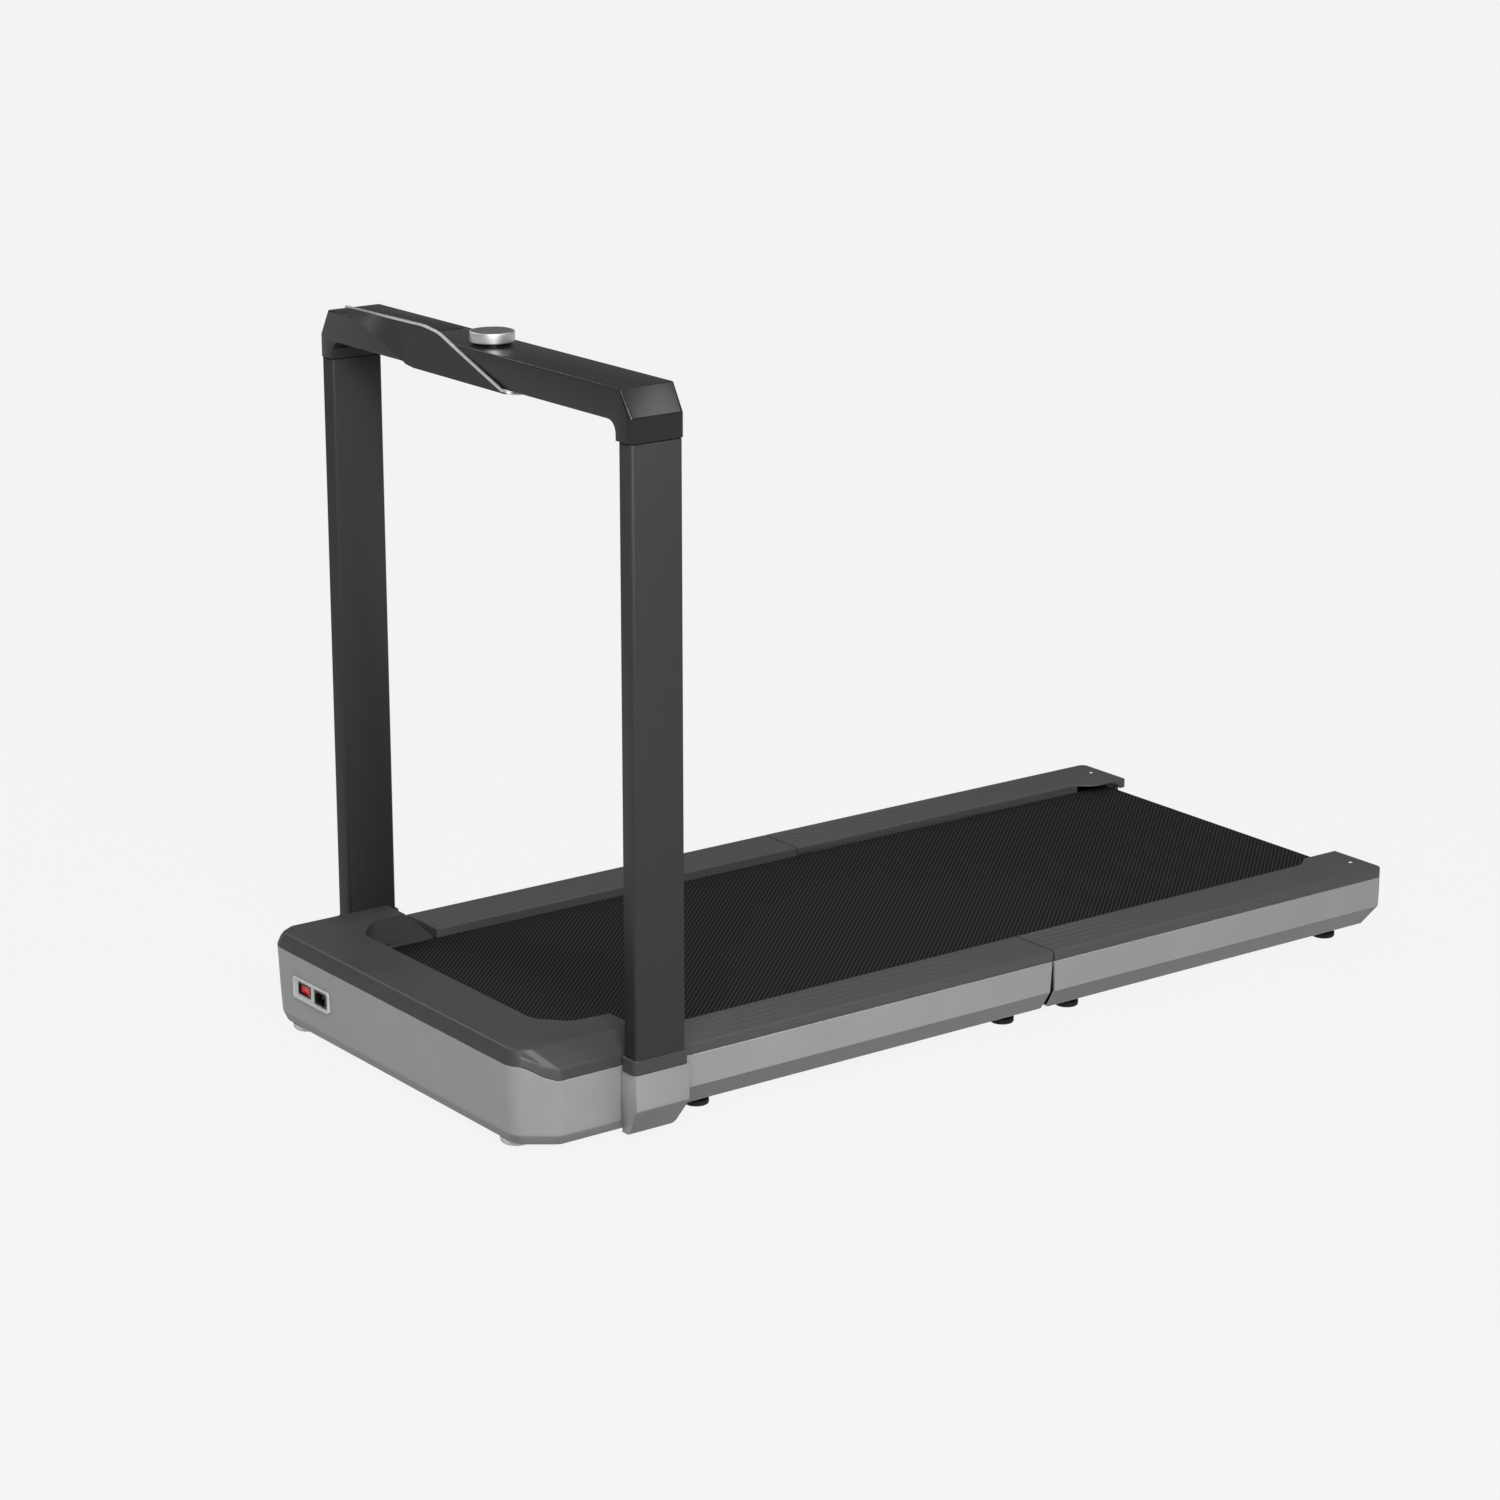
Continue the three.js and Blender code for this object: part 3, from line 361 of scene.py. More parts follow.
def eased(path, radius, steps=6):
    """The same path with its inner corners rounded by a quadratic curve."""
    points = [path[0]]
    for before, here, after in zip(path, path[1:], path[2:]):
        a, b, c = Vector(before), Vector(here), Vector(after)
        start = b + (a - b).normalized() * min(radius, (a - b).length * 0.45)
        end = b + (c - b).normalized() * min(radius, (c - b).length * 0.45)
        for i in range(steps + 1):
            t = i / steps
            points.append(tuple(start * (1 - t) ** 2 + b * (2 * t * (1 - t)) + end * t * t))
    points.append(path[-1])
    return points


def build(name, vertices, faces):
    mesh = bpy.data.meshes.new(name)
    mesh.from_pydata([metres(*v) for v in vertices], [], faces)
    work = bmesh.new()
    work.from_mesh(mesh)
    bmesh.ops.remove_doubles(work, verts=work.verts, dist=1e-7)
    bmesh.ops.recalc_face_normals(work, faces=work.faces)
    work.to_mesh(mesh)
    work.free()
    obj = bpy.data.objects.new(name, mesh)
    bpy.context.scene.collection.objects.link(obj)
    return obj


def loft(name, rings):
    """A skin through rings of equal count, capped at both ends."""
    count = len(rings[0])
    faces = []
    for level in range(len(rings) - 1):
        for i in range(count):
            a, b = level * count + i, level * count + (i + 1) % count
            faces.append((a, b, b + count, a + count))
    faces.append(tuple(range(count))[::-1])
    faces.append(tuple(range((len(rings) - 1) * count, len(rings) * count)))
    return build(name, [v for ring in rings for v in ring], faces)


def axis_point(axis, a, b, level):
    if axis == "x":
        return (level, a, b)
    if axis == "y":
        return (a, level, b)
    return (a, b, level)


def prism(name, axis, corners, low, high, steps=8):
    """An outline swept along one axis: (y, z) along x, (x, z) along y, (x, y) along z."""
    points = outline(corners, steps)
    return loft(name, [[axis_point(axis, a, b, level) for a, b in points] for level in (low, high)])


def quarter_turn(steps):
    return [math.pi / 2 * step / steps for step in range(steps + 1)]


def rounded_end(level, rounding, inward):
    """Level and inset of each ring round one end edge of a slab, from its wall to its face."""
    if not rounding:
        return [(level, 0)]
    return [(level + inward * rounding * (1 - math.sin(turn)), rounding * (1 - math.cos(turn)))
            for turn in quarter_turn(4)]


def slab(name, axis, corners, low, high, low_round=0.0, high_round=0.0, steps=8):
    """A prism whose end edges are rounded: the outline is drawn in as it nears each end."""
    points = anticlockwise(outline(corners, steps))
    ends = rounded_end(low, low_round, 1)[::-1] + rounded_end(high, high_round, -1)
    return loft(name, [
        [axis_point(axis, a, b, level) for a, b in (inset(points, drawn) if drawn else points)]
        for level, drawn in ends
    ])


def turned(name, axis, profile, centre, sides=64):
    """A turned piece from (radius, height) pairs that start and end on the axis."""
    rings = []
    for radius, height in profile:
        ring = []
        for i in range(sides):
            turn = 2 * math.pi * i / sides
            a, b = max(radius, 0.001) * math.cos(turn), max(radius, 0.001) * math.sin(turn)
            x, y, z = axis_point(axis, a, b, height)
            ring.append((x + centre[0], y + centre[1], z + centre[2]))
        rings.append(ring)
    return loft(name, rings)


def cuboid(xs, ys, zs, name="tool"):
    return prism(name, "z", [(xs[0], ys[0]), (xs[1], ys[0]), (xs[1], ys[1]), (xs[0], ys[1])], *zs)


def bake(obj):
    """Applies the modifiers of an object to its mesh."""
    depsgraph = bpy.context.evaluated_depsgraph_get()
    mesh = bpy.data.meshes.new_from_object(obj.evaluated_get(depsgraph))
    obj.modifiers.clear()
    obj.data = mesh
    return obj


def combine(obj, operation, *tools):
    for tool in tools:
        modifier = obj.modifiers.new("boolean", "BOOLEAN")
        modifier.operation = operation
        modifier.solver = "MANIFOLD"
        modifier.object = tool
        bpy.context.view_layer.update()
        bake(obj)
        bpy.data.objects.remove(tool)
    return obj


def cut(obj, *tools):
    return combine(obj, "DIFFERENCE", *tools)


def join(obj, *tools):
    return combine(obj, "UNION", *tools)


def keep(obj, *tools):
    return combine(obj, "INTERSECT", *tools)


def soften(obj, width, angle=32, segments=3):
    """Rounds the sharp edges, in millimetres."""
    work = bmesh.new()
    work.from_mesh(obj.data)
    bmesh.ops.remove_doubles(work, verts=work.verts, dist=2e-6)
    bmesh.ops.dissolve_limit(work, angle_limit=math.radians(0.5), verts=work.verts, edges=work.edges)
    work.to_mesh(obj.data)
    work.free()
    bevel = obj.modifiers.new("soft_edges", "BEVEL")
    bevel.width = width * MM
    bevel.segments = segments
    bevel.limit_method = "ANGLE"
    bevel.angle_limit = math.radians(angle)
    bevel.use_clamp_overlap = True
    bevel.harden_normals = True
    bevel.miter_outer = "MITER_ARC"
    return obj


def finish_piece(obj, body, material, nodes=(), sharp=38):
    """Names the body a piece rides on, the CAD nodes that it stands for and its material."""
    obj.data.materials.clear()
    obj.data.materials.append(material)
    for polygon in obj.data.polygons:
        polygon.use_smooth = True
    obj.data.set_sharp_from_angle(angle=math.radians(sharp))
    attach(obj, body)
    if nodes:
        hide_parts(*nodes)
    return obj


def mirrored(obj, name):
    """A copy of an unfinished piece on the other side of the machine."""
    bake(obj)
    copy = bpy.data.objects.new(name, obj.data.copy())
    copy.data.transform(Matrix.Diagonal((-1, 1, 1, 1)))
    copy.data.flip_normals()
    bpy.context.scene.collection.objects.link(copy)
    return copy


def finish_pair(obj, stem, body, material, sharp=38):
    """A right-hand piece and its mirror image, for the CAD nodes STEM_right and STEM_left."""
    copy = mirrored(obj, "look_" + stem + "_left")
    obj.name = "look_" + stem + "_right"
    finish_piece(obj, body, material, [stem + "_right"], sharp)
    finish_piece(copy, body, material, [stem + "_left"], sharp)


# ---------------------------------------------------------------- motor base
def both_sides(right):
    """Corners of a symmetric plan from its right half."""
    return [(-corner[0], *corner[1:]) for corner in right] + right[::-1]


def spread(side, near, far):
    """Two places this far from the middle, on one side of the machine, the lower first."""
    return sorted((side * near, side * far))


def colour_line(y):
    """Height of the line between silver and dark, which rises in an S round the front corner."""
    share = max(0.0, min(1.0, (FACET_SIDE - 4 - y) / 39))
    return SIDE_LINE + (FRONT_LINE - SIDE_LINE) * share * share * (3 - 2 * share)


def chamfer(start, end, count=7):
    """A straight chamfer between two corners, with plain points along its middle."""
    shares = [0.34 + 0.3 * i / (count - 1) for i in range(count)]
    between = [(start[0] + (end[0] - start[0]) * t, start[1] + (end[1] - start[1]) * t) for t in shares]
    return [start, *between, end]


def base_plan(drawn):
    """Plan of the base, drawn in by an amount."""
    side, front, rear = BASE_HALF - drawn, BASE_FRONT + drawn, BASE_REAR - min(drawn, BASE_WALL)
    facet = chamfer((side, FACET_SIDE + drawn * 0.4, 14), (FACET_FRONT - drawn * 0.4, front, 30))
    return outline(both_sides([(side, rear), *facet]), 12)


def level_ring(drawn, level):
    return [(x, y, level) for x, y in base_plan(drawn)]


def line_ring(drawn, drop):
    """A ring that follows the colour line, this far below it."""
    return [(x, y, colour_line(y) - drop) for x, y in base_plan(drawn)]


def pivot_drill(near, far):
    """A drill for the handrail's pivot pin, between two places across the machine."""
    return turned("tool", "x", [(0, near), (PIN_HOLE_R, near), (PIN_HOLE_R, far), (0, far)],
                  (0, UPRIGHT_Y, PIVOT_Z), 32)


# Inset and height of the shell's rings from its floor up, then inset and drop below the colour line.
FLANK = [(11.4, BASE_FLOOR), (10.4, 9.7), (9.7, 10.4), (9.3, 11.3), (5.3, 21.2), (4.8, 22.6), (4.5, 24.4),
         (2.6, 58)]
LIP = [(0.5, 3), (0.4, 0.9), (0.6, 0.4), (1.2, 0)]
shell_rings = [level_ring(*ring) for ring in FLANK] + [line_ring(*ring) for ring in LIP]
shell = loft("look_base_lower_shell", shell_rings)
hollow = loft("tool", [level_ring(14, BASE_FLOOR + BASE_WALL), level_ring(8, 25), line_ring(3.2, -0.5)])
rear_mouth = cuboid((-300, 300), (215, 240), (32, 130))
entry_hole = cuboid((ENTRY[0] - 0.6, ENTRY[1] + 0.6), (-5, 12), (ENTRY[2] - 0.6, ENTRY[3] + 0.6))
cut(shell, hollow, rear_mouth, entry_hole)
for side in (-1, 1):
    wheel_slot = cuboid(spread(side, 179.5, 200.5), (30, 60), (0, 40))
    cut(shell, wheel_slot, pivot_drill(*spread(side, 315, 340)))
soften(shell, 0.7)
finish_piece(shell, "base", SILVER, ["base_lower_shell"])


def cover_rings():
    """The cover's profile at every point of its plan: side band, soft crease, slope, plateau edge."""
    edge = [(PLATEAU_HALF, BASE_REAR), *chamfer((PLATEAU_HALF, 30, 16), (282, PLATEAU_FRONT, 16))]
    middle_of_top = [(PLATEAU_HALF - 10, BASE_REAR), *chamfer((PLATEAU_HALF - 10, 36, 12), (276, 21, 12))]
    edge_plan, inner_plan = outline(both_sides(edge), 12), outline(both_sides(middle_of_top), 12)
    profiles = []
    for outer, middle, upper, inner in zip(base_plan(0), base_plan(4), edge_plan, inner_plan):
        line = colour_line(outer[1])
        crease = line + 14 - 3 * (line - SIDE_LINE) / (FRONT_LINE - SIDE_LINE)
        corners = [(*outer, line + SEAM), (*middle, crease), (*upper, PLATEAU_TOP), (*inner, PLATEAU_TOP)]
        path = eased(corners, 3.5)
        band_start = Vector(corners[0]).lerp(Vector(corners[1]), 0.06)
        lip = (band_start.x * 0.998, band_start.y + 0.5, line + SEAM)
        slope = [tuple(Vector(path[7]).lerp(Vector(path[8]), i / 6)) for i in range(1, 6)]
        profiles.append([lip, tuple(band_start), *path[1:8], *slope, *path[8:]])
    return [list(ring) for ring in zip(*profiles)]


cover = loft("look_base_top_cover", cover_rings())
recess_right = [(205, 91, 34), (243, 125, 34), (248, 181), (248, 260)]
recess = prism("tool", "z", both_sides(recess_right[::-1]), 60, 150, 10)
rear_slope = prism("tool", "x", [(181, 136), (181, 160), (240, 160), (240, 70), (227, 93)], -340, 340)
nose_cavity = cuboid((-280, 280), (16, 86), (80, 131.5))
for side in (-1, 1):
    recess_wall = cuboid(spread(side, 248, 251.5), (130, 226), (86, 120))
    side_cavity = cuboid(spread(side, 253, 283), (80, 172), (80, 130.5))
    shelf_cavity = cuboid(spread(side, 253, 319), (60, 200), (80, 107))
    join(cover, recess_wall)
    cut(cover, side_cavity, shelf_cavity)
cut(cover, nose_cavity, recess, rear_slope)
soften(cover, 1.4, 50)
finish_piece(cover, "base", DARK, ["base_top_cover"], 70)

for side, name in ((-1, "left"), (1, "right")):
    foot = turned("look_base_foot_" + name, "z", [
        (0, 0), (15, 0), (18.4, 0.9), (20.2, 2.6), (21, 5.2), (21, 8.2), (20.4, 8.9), (19.8, 9.2), (0, 9.2),
    ], (side * BASE_FOOT_X, BASE_FOOT_Y, 0), 56)
    finish_piece(foot, "base", PALE, ["base_foot_" + name])


# ---------------------------------------------------------------- power entry
def panel_corners(box, grow=0.0, radius=0.0):
    left, right, bottom, top = box
    return [(left - grow, bottom - grow, radius), (right + grow, bottom - grow, radius),
            (right + grow, top + grow, radius), (left - grow, top + grow, radius)]


plate = prism("look_power_entry_plate", "y", panel_corners(ENTRY, 0, 4), 0.1, 5)
cut(plate, prism("tool", "y", panel_corners(ENTRY, -3.2, 3), -2, 0.9),
    prism("tool", "y", panel_corners(SWITCH, SEAM), -5, 20),
    prism("tool", "y", panel_corners(INLET, SEAM), -5, 20))
soften(plate, 0.35)
finish_piece(plate, "base", PALE, ["power_entry_plate"])

switch = prism("look_switch_body", "y", panel_corners(SWITCH, 0, 1.2), 0, 22)
cut(switch, prism("tool", "y", panel_corners(SWITCH, -1.6, 0.8), -5, 15))
soften(switch, 0.4)
finish_piece(switch, "base", GLOSS_BLACK, ["switch_body"])

# The rocker is made round its own axis, tilted, and then moved to its pivot.
rocker = slab("look_switch_rocker", "z", outline([
    (-13.2, -8.4, 1.2), (-6, -7.1, 20), (0, -6.9, 30), (6, -7.1, 20), (13.2, -8.4, 1.2),
    (12.2, -2, 1), (3, 4, 1), (-3, 4, 1), (-12.2, -2, 1),
], 4), -6.2, 6.2, 0.5, 0.5)
to_origin = Matrix.Translation(-metres(0, 0, 0))
to_pivot = Matrix.Translation(metres(*ROCKER_PIVOT))
rocker.data.transform(to_pivot @ Matrix.Rotation(math.radians(-6), 4, "Z") @ to_origin)
finish_piece(rocker, "rocker", RED, ["switch_rocker"])

inlet = prism("look_power_inlet", "y", panel_corners(INLET, 0, 1.4), 0, 24)
left, right, bottom, top = INLET
cut(inlet, prism("tool", "y", [
    (left + 2.8, bottom + 2.5, 1.5), (right - 2.8, bottom + 2.5, 1.5), (right - 2.8, top - 6, 1),
    (right - 7, top - 2.5, 1), (left + 7, top - 2.5, 1), (left + 2.8, top - 6, 1),
], -5, 19, 3))
soften(inlet, 0.4)
finish_piece(inlet, "base", GLOSS_BLACK, ["power_inlet"])
for i, (dx, dz) in enumerate(((-7, -2), (0, 2), (7, -2))):
    x, z = (left + right) / 2 + dx, (bottom + top) / 2 + dz
    section = panel_corners((x - 1, x + 1, z - 2, z + 2), 0, 0.3)
    blade = slab(f"look_inlet_blade_{i}", "y", section, 8, 19.5, 0.3, 0, 2)
    finish_piece(blade, "base", STEEL)


# ---------------------------------------------------------------- deck rails
def front_end(z):
    return RAIL_FRONT


def fold_lean(z, low, high):
    """How far a rail's end leans at a height: low over its chamfer, and high more up to its top."""
    if z < CHAMFER_TOP:
        return low * (z - RAIL_BOTTOM) / (CHAMFER_TOP - RAIL_BOTTOM)
    return low + high * (z - CHAMFER_TOP) / (RAIL_TOP - CHAMFER_TOP)


def front_fold(z):
    return FOLD - 7 + fold_lean(z, 1.5, 4.5)


def rear_fold(z):
    return FOLD + 5 - fold_lean(z, 1.7, 2.3)


def rear_end(z):
    """The deck's rear end at a height: it slants back up to its knee, and then stands nearly upright."""
    if z < TAIL_KNEE:
        return LENGTH - TAIL_LOW + (TAIL_LOW - TAIL_MIDDLE) * (z - RAIL_BOTTOM) / (TAIL_KNEE - RAIL_BOTTOM)
    return LENGTH - TAIL_MIDDLE + TAIL_MIDDLE * min(1, (z - TAIL_KNEE) / (COLOUR_LINE - TAIL_KNEE))


# How far a softened end is drawn in, and how far along it is, as shares of its rounding.
SOFT_END = ((1.0, 0.0), (0.62, 0.08), (0.29, 0.29), (0.08, 0.62), (0.0, 1.0))


def swept(name, section, start, end, rounding):
    """A section (x, z) swept along y between two end profiles, with softened ends."""
    points = anticlockwise(outline(section, 5))
    rings = []
    for face, inward, stages in ((start, 1, SOFT_END), (end, -1, SOFT_END[::-1])):
        for drawn, along in stages:
            rings.append([(x, face(z) + inward * rounding * along, z)
                          for x, z in inset(points, rounding * drawn)])
    return loft(name, rings)


def groove_places():
    """Middles of the grooves along a rail's top."""
    margin = 6
    pitch = (RAIL_OUTER - RAIL_INNER - 2 * margin) / (GROOVES + 1)
    return [RAIL_OUTER - margin - pitch * (i + 1) for i in range(GROOVES)]


def cover_section():
    """The dark top of the front rail: side band, rounded outer edge, shallow grooves, inner lip."""
    line, floor_z = COLOUR_LINE + SEAM, RAIL_TOP - 0.6
    section = [(RAIL_INNER, line), (RAIL_OUTER - 1, line, 0.4), (RAIL_OUTER, line + 1.2, 0.5),
               (RAIL_OUTER, RAIL_TOP, 2.4)]
    for x in groove_places():
        section += [(x + 1.5, RAIL_TOP, 0.5), (x + 0.6, floor_z, 0.3), (x - 0.6, floor_z, 0.3),
                    (x - 1.5, RAIL_TOP, 0.5)]
    return section + [(RAIL_INNER, RAIL_TOP, 1.4)]


def skirt_section():
    """The silver side of a rail, with its chamfer and its turned-in lower flange."""
    return [
        (RAIL_OUTER - 1, COLOUR_LINE, 0.4), (RAIL_OUTER, COLOUR_LINE - 1.2, 0.5),
        (RAIL_OUTER, CHAMFER_TOP + 1.2, 0), (RAIL_OUTER, CHAMFER_TOP, 1),
        (RAIL_OUTER - 0.7, CHAMFER_TOP - 1.2, 0), (SOLE_OUTER, RAIL_BOTTOM, 2.5),
        (SOLE_INNER, RAIL_BOTTOM, 1), (SOLE_INNER, RAIL_BOTTOM + 3, 0.5),
        (SOLE_OUTER - 3, RAIL_BOTTOM + 3, 2), (RAIL_OUTER - 4, CHAMFER_TOP + 1, 5),
        (RAIL_OUTER - 4, COLOUR_LINE, 0.5),
    ]


rail_hollow_x = (RAIL_INNER + RAIL_WALL, RAIL_OUTER - RAIL_WALL)
front_cover = swept("cover", cover_section(), front_end, front_fold, 0.9)
cut(front_cover, cuboid(rail_hollow_x, (RAIL_FRONT + RAIL_WALL, FOLD - 4), (0, RAIL_TOP - RAIL_WALL)))
finish_pair(front_cover, "front_rail_cover", "base", RAIL_DARK, 30)

# The rear cover is a plate seen from above, with a rounded outer corner and a widened inner end.
wide_plan = [
    (RAIL_OUTER, FOLD - 20), (RAIL_OUTER, LENGTH, 11), (WIDE_INNER, LENGTH, 2.5), (WIDE_INNER, WIDE_FULL, 20),
    (RAIL_INNER, WIDE_START, 20), (RAIL_INNER, FOLD - 20),
]
rear_cover = slab("cover", "z", wide_plan, COLOUR_LINE + SEAM, RAIL_TOP, 0.6, 2.0, 10)
rear_side = [(rear_fold(z), z) for z in (0, RAIL_BOTTOM, CHAMFER_TOP, RAIL_TOP, 120)]
keep(rear_cover, prism("tool", "x", rear_side + [(LENGTH + 5, 120), (LENGTH + 5, 0)], 200, 400))
for x in groove_places():
    above, below = RAIL_TOP + 1, RAIL_TOP - 0.45
    groove = [(x - 1.2, above), (x - 0.5, below), (x + 0.5, below), (x + 1.2, above)]
    cut(rear_cover, prism("tool", "y", groove, FOLD - 10, 1412))
inner_lip = cuboid((RAIL_INNER, RAIL_INNER + RAIL_WALL), (FOLD + 4, WIDE_START + 2), (80, COLOUR_LINE + 1))
tail_wall = cuboid((RAIL_INNER - 6, RAIL_INNER + RAIL_WALL), (1471, LENGTH - 3), (TAIL_KNEE, COLOUR_LINE + 1))
join(rear_cover, inner_lip, tail_wall)
rail_hollow = cuboid(rail_hollow_x, (FOLD + 4, LENGTH - 12), (0, RAIL_TOP - RAIL_WALL))
room_end = RAIL_INNER + 4
belt_tunnel = cuboid((0, room_end), (WIDE_START + 2, REAR_ROLLER), (0, RAIL_TOP - 2.2))
room_profile = [(0, 0), (ROLLER_ROOM_R, 0), (ROLLER_ROOM_R, room_end), (0, room_end)]
roller_room = turned("tool", "x", room_profile, (0, REAR_ROLLER, ROLLER_Z), 64)
cut(rear_cover, rail_hollow, belt_tunnel, roller_room)
soften(rear_cover, 0.5, 40, 2)
finish_pair(rear_cover, "rear_rail_cover", "rear_deck", RAIL_DARK, 30)

front_skirt = swept("skirt", skirt_section(), front_end, front_fold, 0.8)
finish_pair(front_skirt, "front_rail_skirt", "base", SILVER)

rear_skirt = swept("skirt", skirt_section(), rear_fold, rear_end, 0.8)
end_plug = prism("tool", "x", [
    (LENGTH - TAIL_LOW - 3, RAIL_BOTTOM), (LENGTH - TAIL_LOW, RAIL_BOTTOM), (LENGTH - TAIL_MIDDLE, TAIL_KNEE),
    (LENGTH - 0.2, COLOUR_LINE), (LENGTH - 12, COLOUR_LINE),
], 250, RAIL_OUTER)
keep(end_plug, prism("tool", "y", [
    (266, RAIL_BOTTOM), (SOLE_OUTER, RAIL_BOTTOM, 2.5), (RAIL_OUTER - 0.4, CHAMFER_TOP, 7),
    (RAIL_OUTER - 0.4, COLOUR_LINE, 0.5), (266, COLOUR_LINE),
], 1400, LENGTH + 2))
join(rear_skirt, end_plug)
rounded_corner = [(200, 800), (RAIL_OUTER, 800), (RAIL_OUTER, LENGTH, 11), (200, LENGTH)]
keep(rear_skirt, prism("tool", "z", rounded_corner, 0, 120, 12))
soften(rear_skirt, 0.5, 40, 2)
finish_pair(rear_skirt, "rear_rail_skirt", "rear_deck", SILVER)

for body, stem, y in (("base", "front_deck_foot_a", 291), ("base", "front_deck_foot_b", 805),
                      ("rear_deck", "rear_deck_foot_a", 921), ("rear_deck", "rear_deck_foot_b", 1413)):
    foot = turned("foot", "z", [
        (0, 0), (13.6, 0), (15.6, 0.6), (16.5, 2.2), (16.5, 4.0), (15.9, 4.6), (16.5, 5.2), (16.5, 7.0),
        (15.6, 8.2), (12.2, 8.8), (11.5, 9.4), (11.5, RAIL_BOTTOM - SEAM), (0, RAIL_BOTTOM - SEAM),
    ], (DECK_FOOT_X, y, 0), 48)
    finish_pair(foot, stem, body, RUBBER, 50)

for side, name in ((-1, "left"), (1, "right")):
    screw = turned("look_end_screw_" + name, "z", [
        (0, 102.4), (2.6, 102.4), (2.6, 103.0), (2.2, 103.35), (1.0, 103.45), (0.9, 103.1), (0, 103.1),
    ], (side * 285, 1461, 0), 24)
    finish_piece(screw, "rear_deck", SCREW)


# ---------------------------------------------------------------- running belt
def belt_stations():
    """Places round the loop: distance run, centre (y, z) and turn, close together near the fold."""
    flat_run = REAR_ROLLER - FRONT_ROLLER
    half_turn = math.pi * (ROLLER_R + SEAM + BELT_THICK)
    fold_at = FOLD - FRONT_ROLLER
    flats, s = [], 0.0
    while s < flat_run - 1e-6:
        flats.append(s)
        s += 4 if min(abs(s - fold_at), abs(flat_run - s - fold_at)) < 40 else 32
    turns = [i / 24 for i in range(24)]
    upper = [(s, FRONT_ROLLER + s, 0.0) for s in flats]
    rear = [(flat_run + half_turn * t, REAR_ROLLER, math.pi * t) for t in turns]
    lower = [(flat_run + half_turn + s, REAR_ROLLER - s, math.pi) for s in flats]
    front = [(2 * flat_run + half_turn + half_turn * t, FRONT_ROLLER, math.pi + math.pi * t) for t in turns]
    return upper + rear + lower + front, 2 * flat_run + 2 * half_turn


def belt_loop():
    """One loop round both rollers: outer and inner points at every station, with UVs in metres."""
    stations, total = belt_stations()
    right = [0, 80, 160, BELT_HALF - BELT_EDGE, BELT_HALF]
    columns = [-x for x in right[:0:-1]] + right
    vertices, faces, uvs = [], [], []
    for s, y, turn in stations:
        for thickness in (BELT_THICK, 0):
            for column in columns:
                worn = 0.5 if thickness and abs(column) == BELT_HALF else 0
                reach = ROLLER_R + SEAM + thickness - worn
                vertices.append((column, y + reach * math.sin(turn), ROLLER_Z + reach * math.cos(turn)))
                uvs.append((column * MM, s * MM))
    wide = len(columns)
    stride = 2 * wide
    for i in range(len(stations)):
        here, there = i * stride, ((i + 1) % len(stations)) * stride
        for j in range(wide - 1):
            faces.append((here + j, here + j + 1, there + j + 1, there + j))
            faces.append((here + wide + j, there + wide + j, there + wide + j + 1, here + wide + j + 1))
        faces.append((here, there, there + wide, here + wide))
        faces.append((here + wide - 1, here + stride - 1, there + stride - 1, there + wide - 1))
    obj = build("look_belt", vertices, faces)
    layer = obj.data.uv_layers.new(name="along_belt")
    for polygon in obj.data.polygons:
        runs = [uvs[obj.data.loops[i].vertex_index][1] for i in polygon.loop_indices]
        wraps = max(runs) - min(runs) > 1
        for i in polygon.loop_indices:
            u, v = uvs[obj.data.loops[i].vertex_index]
            layer.data[i].uv = (u, v + total * MM if wraps and v < 1 else v)
    return obj


belt = belt_loop()
belt.data.materials.append(BELT)
for polygon in belt.data.polygons:
    polygon.use_smooth = True
belt.data.set_sharp_from_angle(angle=math.radians(40))
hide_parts("belt_front", "belt_rear")
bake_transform(belt)


# ---------------------------------------------------------------- handrail
def post_section(grow, radius):
    return panel_corners((POST_INNER, POST_OUTER, POST_FRONT, POST_REAR), grow, radius)


post = prism("post", "z", post_section(0, 5), POST_BOTTOM, POST_TOP, 8)
cut(post, prism("tool", "z", post_section(-POST_WALL, 2.6), 100, 900, 6))
soften(post, 0.4, 40, 2)
finish_pair(post, "upright", "handrail", UPRIGHT)

collar_plan = [(COLLAR_INNER, COLLAR_FRONT, 5), (HALF_WIDTH, COLLAR_FRONT, 7), (HALF_WIDTH, COLLAR_REAR, 7),
               (COLLAR_INNER, COLLAR_REAR, 5)]
collar = slab("collar", "z", collar_plan, BOOT_TOP + SEAM, POST_BOTTOM - SEAM, 0.6, 1.6, 8)
cut(collar, cuboid((340.5, 356.5), (158, 205), (90, 120)))
finish_pair(collar, "upright_collar", "handrail", DARK)

boot = prism("boot", "x", [
    (BOOT_FRONT, BASE_FLOOR), (211, BASE_FLOOR, 12), (BOOT_REAR - 0.5, 42, 14), (BOOT_REAR, BOOT_TOP),
    (BOOT_FRONT, BOOT_TOP),
], BOOT_INNER, HALF_WIDTH, 10)
keep(boot, prism("tool", "y", [
    (BOOT_INNER, BASE_FLOOR), (345, BASE_FLOOR, 6), (HALF_WIDTH, 45, 10), (HALF_WIDTH, BOOT_TOP),
    (BOOT_INNER, BOOT_TOP),
], 140, 227, 8))
arm_room = cuboid((333, 358.3), (150, 214), (43, 95))
cut(boot, arm_room, pivot_drill(320, 340))
soften(boot, 2.0, 30, 3)
finish_pair(boot, "upright_boot", "handrail", SILVER)

